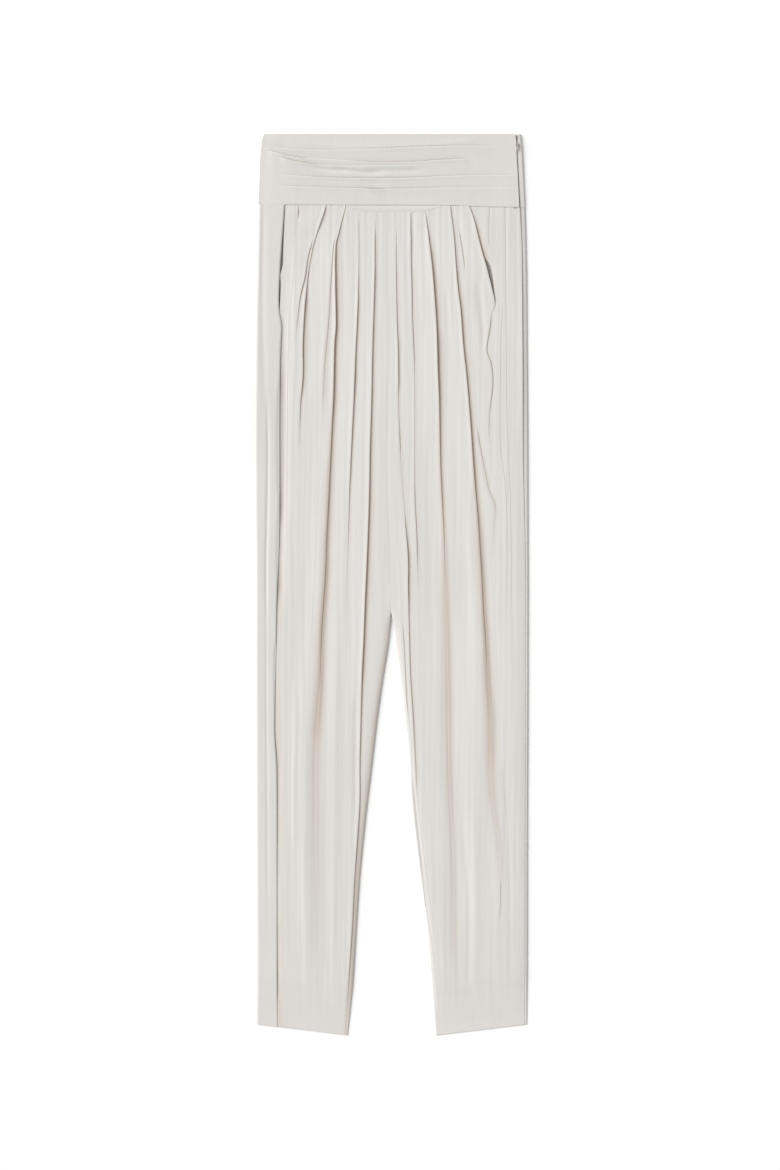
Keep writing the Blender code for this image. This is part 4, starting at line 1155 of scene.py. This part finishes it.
class TROUSERS_OT_fronts(Operator):
    """Make the two pleated front panels"""

    bl_idname = "trousers.fronts"
    bl_label = "Fronts"

    def execute(self, context):
        sizes = context.scene.trousers_sizes
        colour = context.scene.trousers_colours.cloth
        for front in FRONTS:
            word = front.word
            rows = [front_row(row, front, sizes) for row in panel_rows()]
            piece = cloth_piece(f"{word}_front", rows, sizes.cloth,
                                crepe_material(f"{word}_front_crepe", colour), mouth_slit(front.folds))
            settle(piece, f"front_{word}")
        return {"FINISHED"}


class TROUSERS_OT_backs(Operator):
    """Make the two back panels, which wrap round the sides to the front"""

    bl_idname = "trousers.backs"
    bl_label = "Backs"

    def execute(self, context):
        sizes = context.scene.trousers_sizes
        colour = context.scene.trousers_colours.cloth
        for back in BACKS:
            word = back.word
            rows = [back_row(row, back, sizes) for row in panel_rows()]
            piece = cloth_piece(f"{word}_back", rows, sizes.cloth,
                                crepe_material(f"{word}_back_crepe", colour))
            settle(piece, f"back_{word}")
        return {"FINISHED"}


class TROUSERS_OT_waistband(Operator):
    """Make the tucked front and the plain back of the waistband, and the stay under it"""

    bl_idname = "trousers.waistband"
    bl_label = "Waistband"

    def execute(self, context):
        sizes = context.scene.trousers_sizes
        colour = context.scene.trousers_colours.cloth
        shares = edged(evenly(0.0, 1.0, BAND_COLUMN_STEP), BAND_END_INSET)
        columns = [band_column(share, sizes.creases) for share in shares]
        rows = [list(row) for row in zip(*columns)]
        front = cloth_piece("band_front", rows, sizes.cloth, crepe_material("band_front_crepe", colour))
        settle(front, "waistband_front")
        downs = edged(evenly(0.0, BAND_DEPTH, BAND_BACK_STEP), EDGE_INSET)
        rows = [band_back_row(down, sizes.cloth / MM / 2) for down in downs]
        back = cloth_piece("band_back", rows, sizes.cloth, crepe_material("band_back_crepe", colour))
        settle(back, "waistband_back")
        stay = cloth_piece("band_stay", stay_rows(), sizes.cloth, crepe_material("band_stay_crepe", colour))
        settle(stay, "waist_stay")
        return {"FINISHED"}


class TROUSERS_OT_pockets(Operator):
    """Make the pocket bags behind the two mouths"""

    bl_idname = "trousers.pockets"
    bl_label = "Pockets"

    def execute(self, context):
        sizes = context.scene.trousers_sizes
        # The pocket cloth is darker than its own colour: painted shade for the inside of the mouths
        colour = context.scene.trousers_colours.inner
        for word, (left, right) in BAG_SIDES:
            material = crepe_material(f"{word}_bag_weave_painted_shade", colour, grain=0.4, streaks=0.1)
            bag = cloth_piece(f"{word}_bag", bag_rows(left, right), sizes.cloth, material)
            settle(bag, f"pocket_bag_{word}")
        return {"FINISHED"}


class TROUSERS_OT_zip(Operator):
    """Make the zip's tape, coil and foot tack, and give its slider and pull their metal"""

    bl_idname = "trousers.zip"
    bl_label = "Zip"

    def execute(self, context):
        sizes = context.scene.trousers_sizes
        colours = context.scene.trousers_colours
        row_step, column_step = TAPE_STEPS
        rows = []
        for down in edged(evenly(*TAPE_ENDS, row_step), EDGE_INSET):
            middle = tape_middle(down)
            rows.append([point_at(middle + x, down, TAPE_Z) for x in evenly(*TAPE_SIDES, column_step)])
        tape = cloth_piece("zip_ribbon", rows, sizes.tape, tape_material("zip_ribbon_weave", colours.tape))
        settle(tape, "zip_tape")
        shape = bmesh.new()
        for down in evenly(*COIL_ENDS, COIL_PITCH):
            add_rod(shape, point_at(tape_middle(down), down, COIL_Z), "Y", COIL_RADIUS, COIL_WIDTH)
        bmesh.ops.bevel(shape, geom=[edge for edge in shape.edges if len(edge.link_faces) == 2
                                     and edge.calc_face_angle() > ROD_RIM_ANGLE],
                        affect="EDGES", offset=COIL_ROUNDING * MM, segments=2, profile=0.5, material=-1)
        coil = add_object("zip_coil", shape, metal_material("zip_coil_nylon", colours.tape, metallic=0.0))
        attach(coil, GARMENT)
        shape = bmesh.new()
        tack_x, tack_down, tack_z = FOOT_TACK
        for turn in range(TACK_TURNS):
            x = tack_x + (turn - (TACK_TURNS - 1) / 2) * TACK_STEP
            add_rod(shape, point_at(x, tack_down, tack_z), "X", TACK_RADIUS, TACK_HEIGHT)
        tack = add_object("zip_foot_tack", shape, crepe_material("tack_thread", colours.inner, 0.4, 0.1))
        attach(tack, GARMENT)
        metal = metal_material("zip_lacquer", colours.metal)
        for name in ("zip_slider", "zip_pull"):
            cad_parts[name].data.materials.clear()
            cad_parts[name].data.materials.append(metal)
        return {"FINISHED"}


class TROUSERS_OT_stage(Operator):
    """Make the floor, the light and the camera that looks straight down"""

    bl_idname = "trousers.stage"
    bl_label = "Stage"

    def execute(self, context):
        scene = context.scene
        setting = scene.trousers_setting
        shape = bmesh.new()
        bmesh.ops.create_grid(shape, x_segments=4, y_segments=4, size=FLOOR_HALF)
        bmesh.ops.translate(shape, vec=(0.0, 0.0, -FLOOR_DROP), verts=shape.verts)
        floor = add_object("floor", shape, floor_material("floor_paint", scene.trousers_colours.floor))
        key_data = bpy.data.lights.new("key_light", "SUN")
        key_data.angle = setting.softness
        key_data.energy = setting.key
        key = bpy.data.objects.new("key_light", key_data)
        key.location = KEY_PLACE
        key.rotation_mode = "QUATERNION"
        key.rotation_quaternion = (-key.location).to_track_quat("-Z", "Y")
        scene.collection.objects.link(key)
        world = scene.world or bpy.data.worlds.new("studio")
        scene.world = world
        world.use_nodes = True
        background = world.node_tree.nodes["Background"]
        background.inputs["Color"].default_value = (1.0, 0.995, 0.985, 1.0)
        background.inputs["Strength"].default_value = setting.fill
        camera_data = bpy.data.cameras.new("overhead")
        camera_data.lens = setting.lens
        camera_data.sensor_width = SENSOR_WIDTH
        camera_data.clip_end = 50.0
        camera = bpy.data.objects.new("overhead", camera_data)
        height = setting.lens / SENSOR_WIDTH * FRAME_PIXELS * PIXEL * MM
        camera.location = (*CAMERA_OVER, height)
        scene.collection.objects.link(camera)
        scene.camera = camera
        scene.view_settings.view_transform = "Standard"
        return {"FINISHED"}


STEPS = (TROUSERS_OT_stage, TROUSERS_OT_backs, TROUSERS_OT_pockets, TROUSERS_OT_zip,
         TROUSERS_OT_fronts, TROUSERS_OT_waistband)


class TROUSERS_PT_panel(Panel):
    """Sizes, colours and steps of the trousers"""

    bl_idname = "TROUSERS_PT_panel"
    bl_label = "Trousers"
    bl_space_type = "VIEW_3D"
    bl_region_type = "UI"
    bl_category = "Trousers"

    def draw(self, context):
        for group in ("trousers_sizes", "trousers_colours", "trousers_setting"):
            owner = getattr(context.scene, group)
            for name in owner.__annotations__:
                self.layout.prop(owner, name)
        for step in STEPS:
            self.layout.operator(step.bl_idname)


CLASSES = (TrousersSizes, TrousersColours, TrousersSetting, *STEPS, TROUSERS_PT_panel)


def register():
    for made in CLASSES:
        bpy.utils.register_class(made)
    bpy.types.Scene.trousers_sizes = PointerProperty(type=TrousersSizes)
    bpy.types.Scene.trousers_colours = PointerProperty(type=TrousersColours)
    bpy.types.Scene.trousers_setting = PointerProperty(type=TrousersSetting)


def unregister():
    del bpy.types.Scene.trousers_setting
    del bpy.types.Scene.trousers_colours
    del bpy.types.Scene.trousers_sizes
    for made in reversed(CLASSES):
        bpy.utils.unregister_class(made)


def main():
    register()
    bpy.ops.trousers.stage()
    bpy.ops.trousers.backs()
    bpy.ops.trousers.pockets()
    bpy.ops.trousers.zip()
    bpy.ops.trousers.fronts()
    bpy.ops.trousers.waistband()


if __name__ == "__main__":
    main()
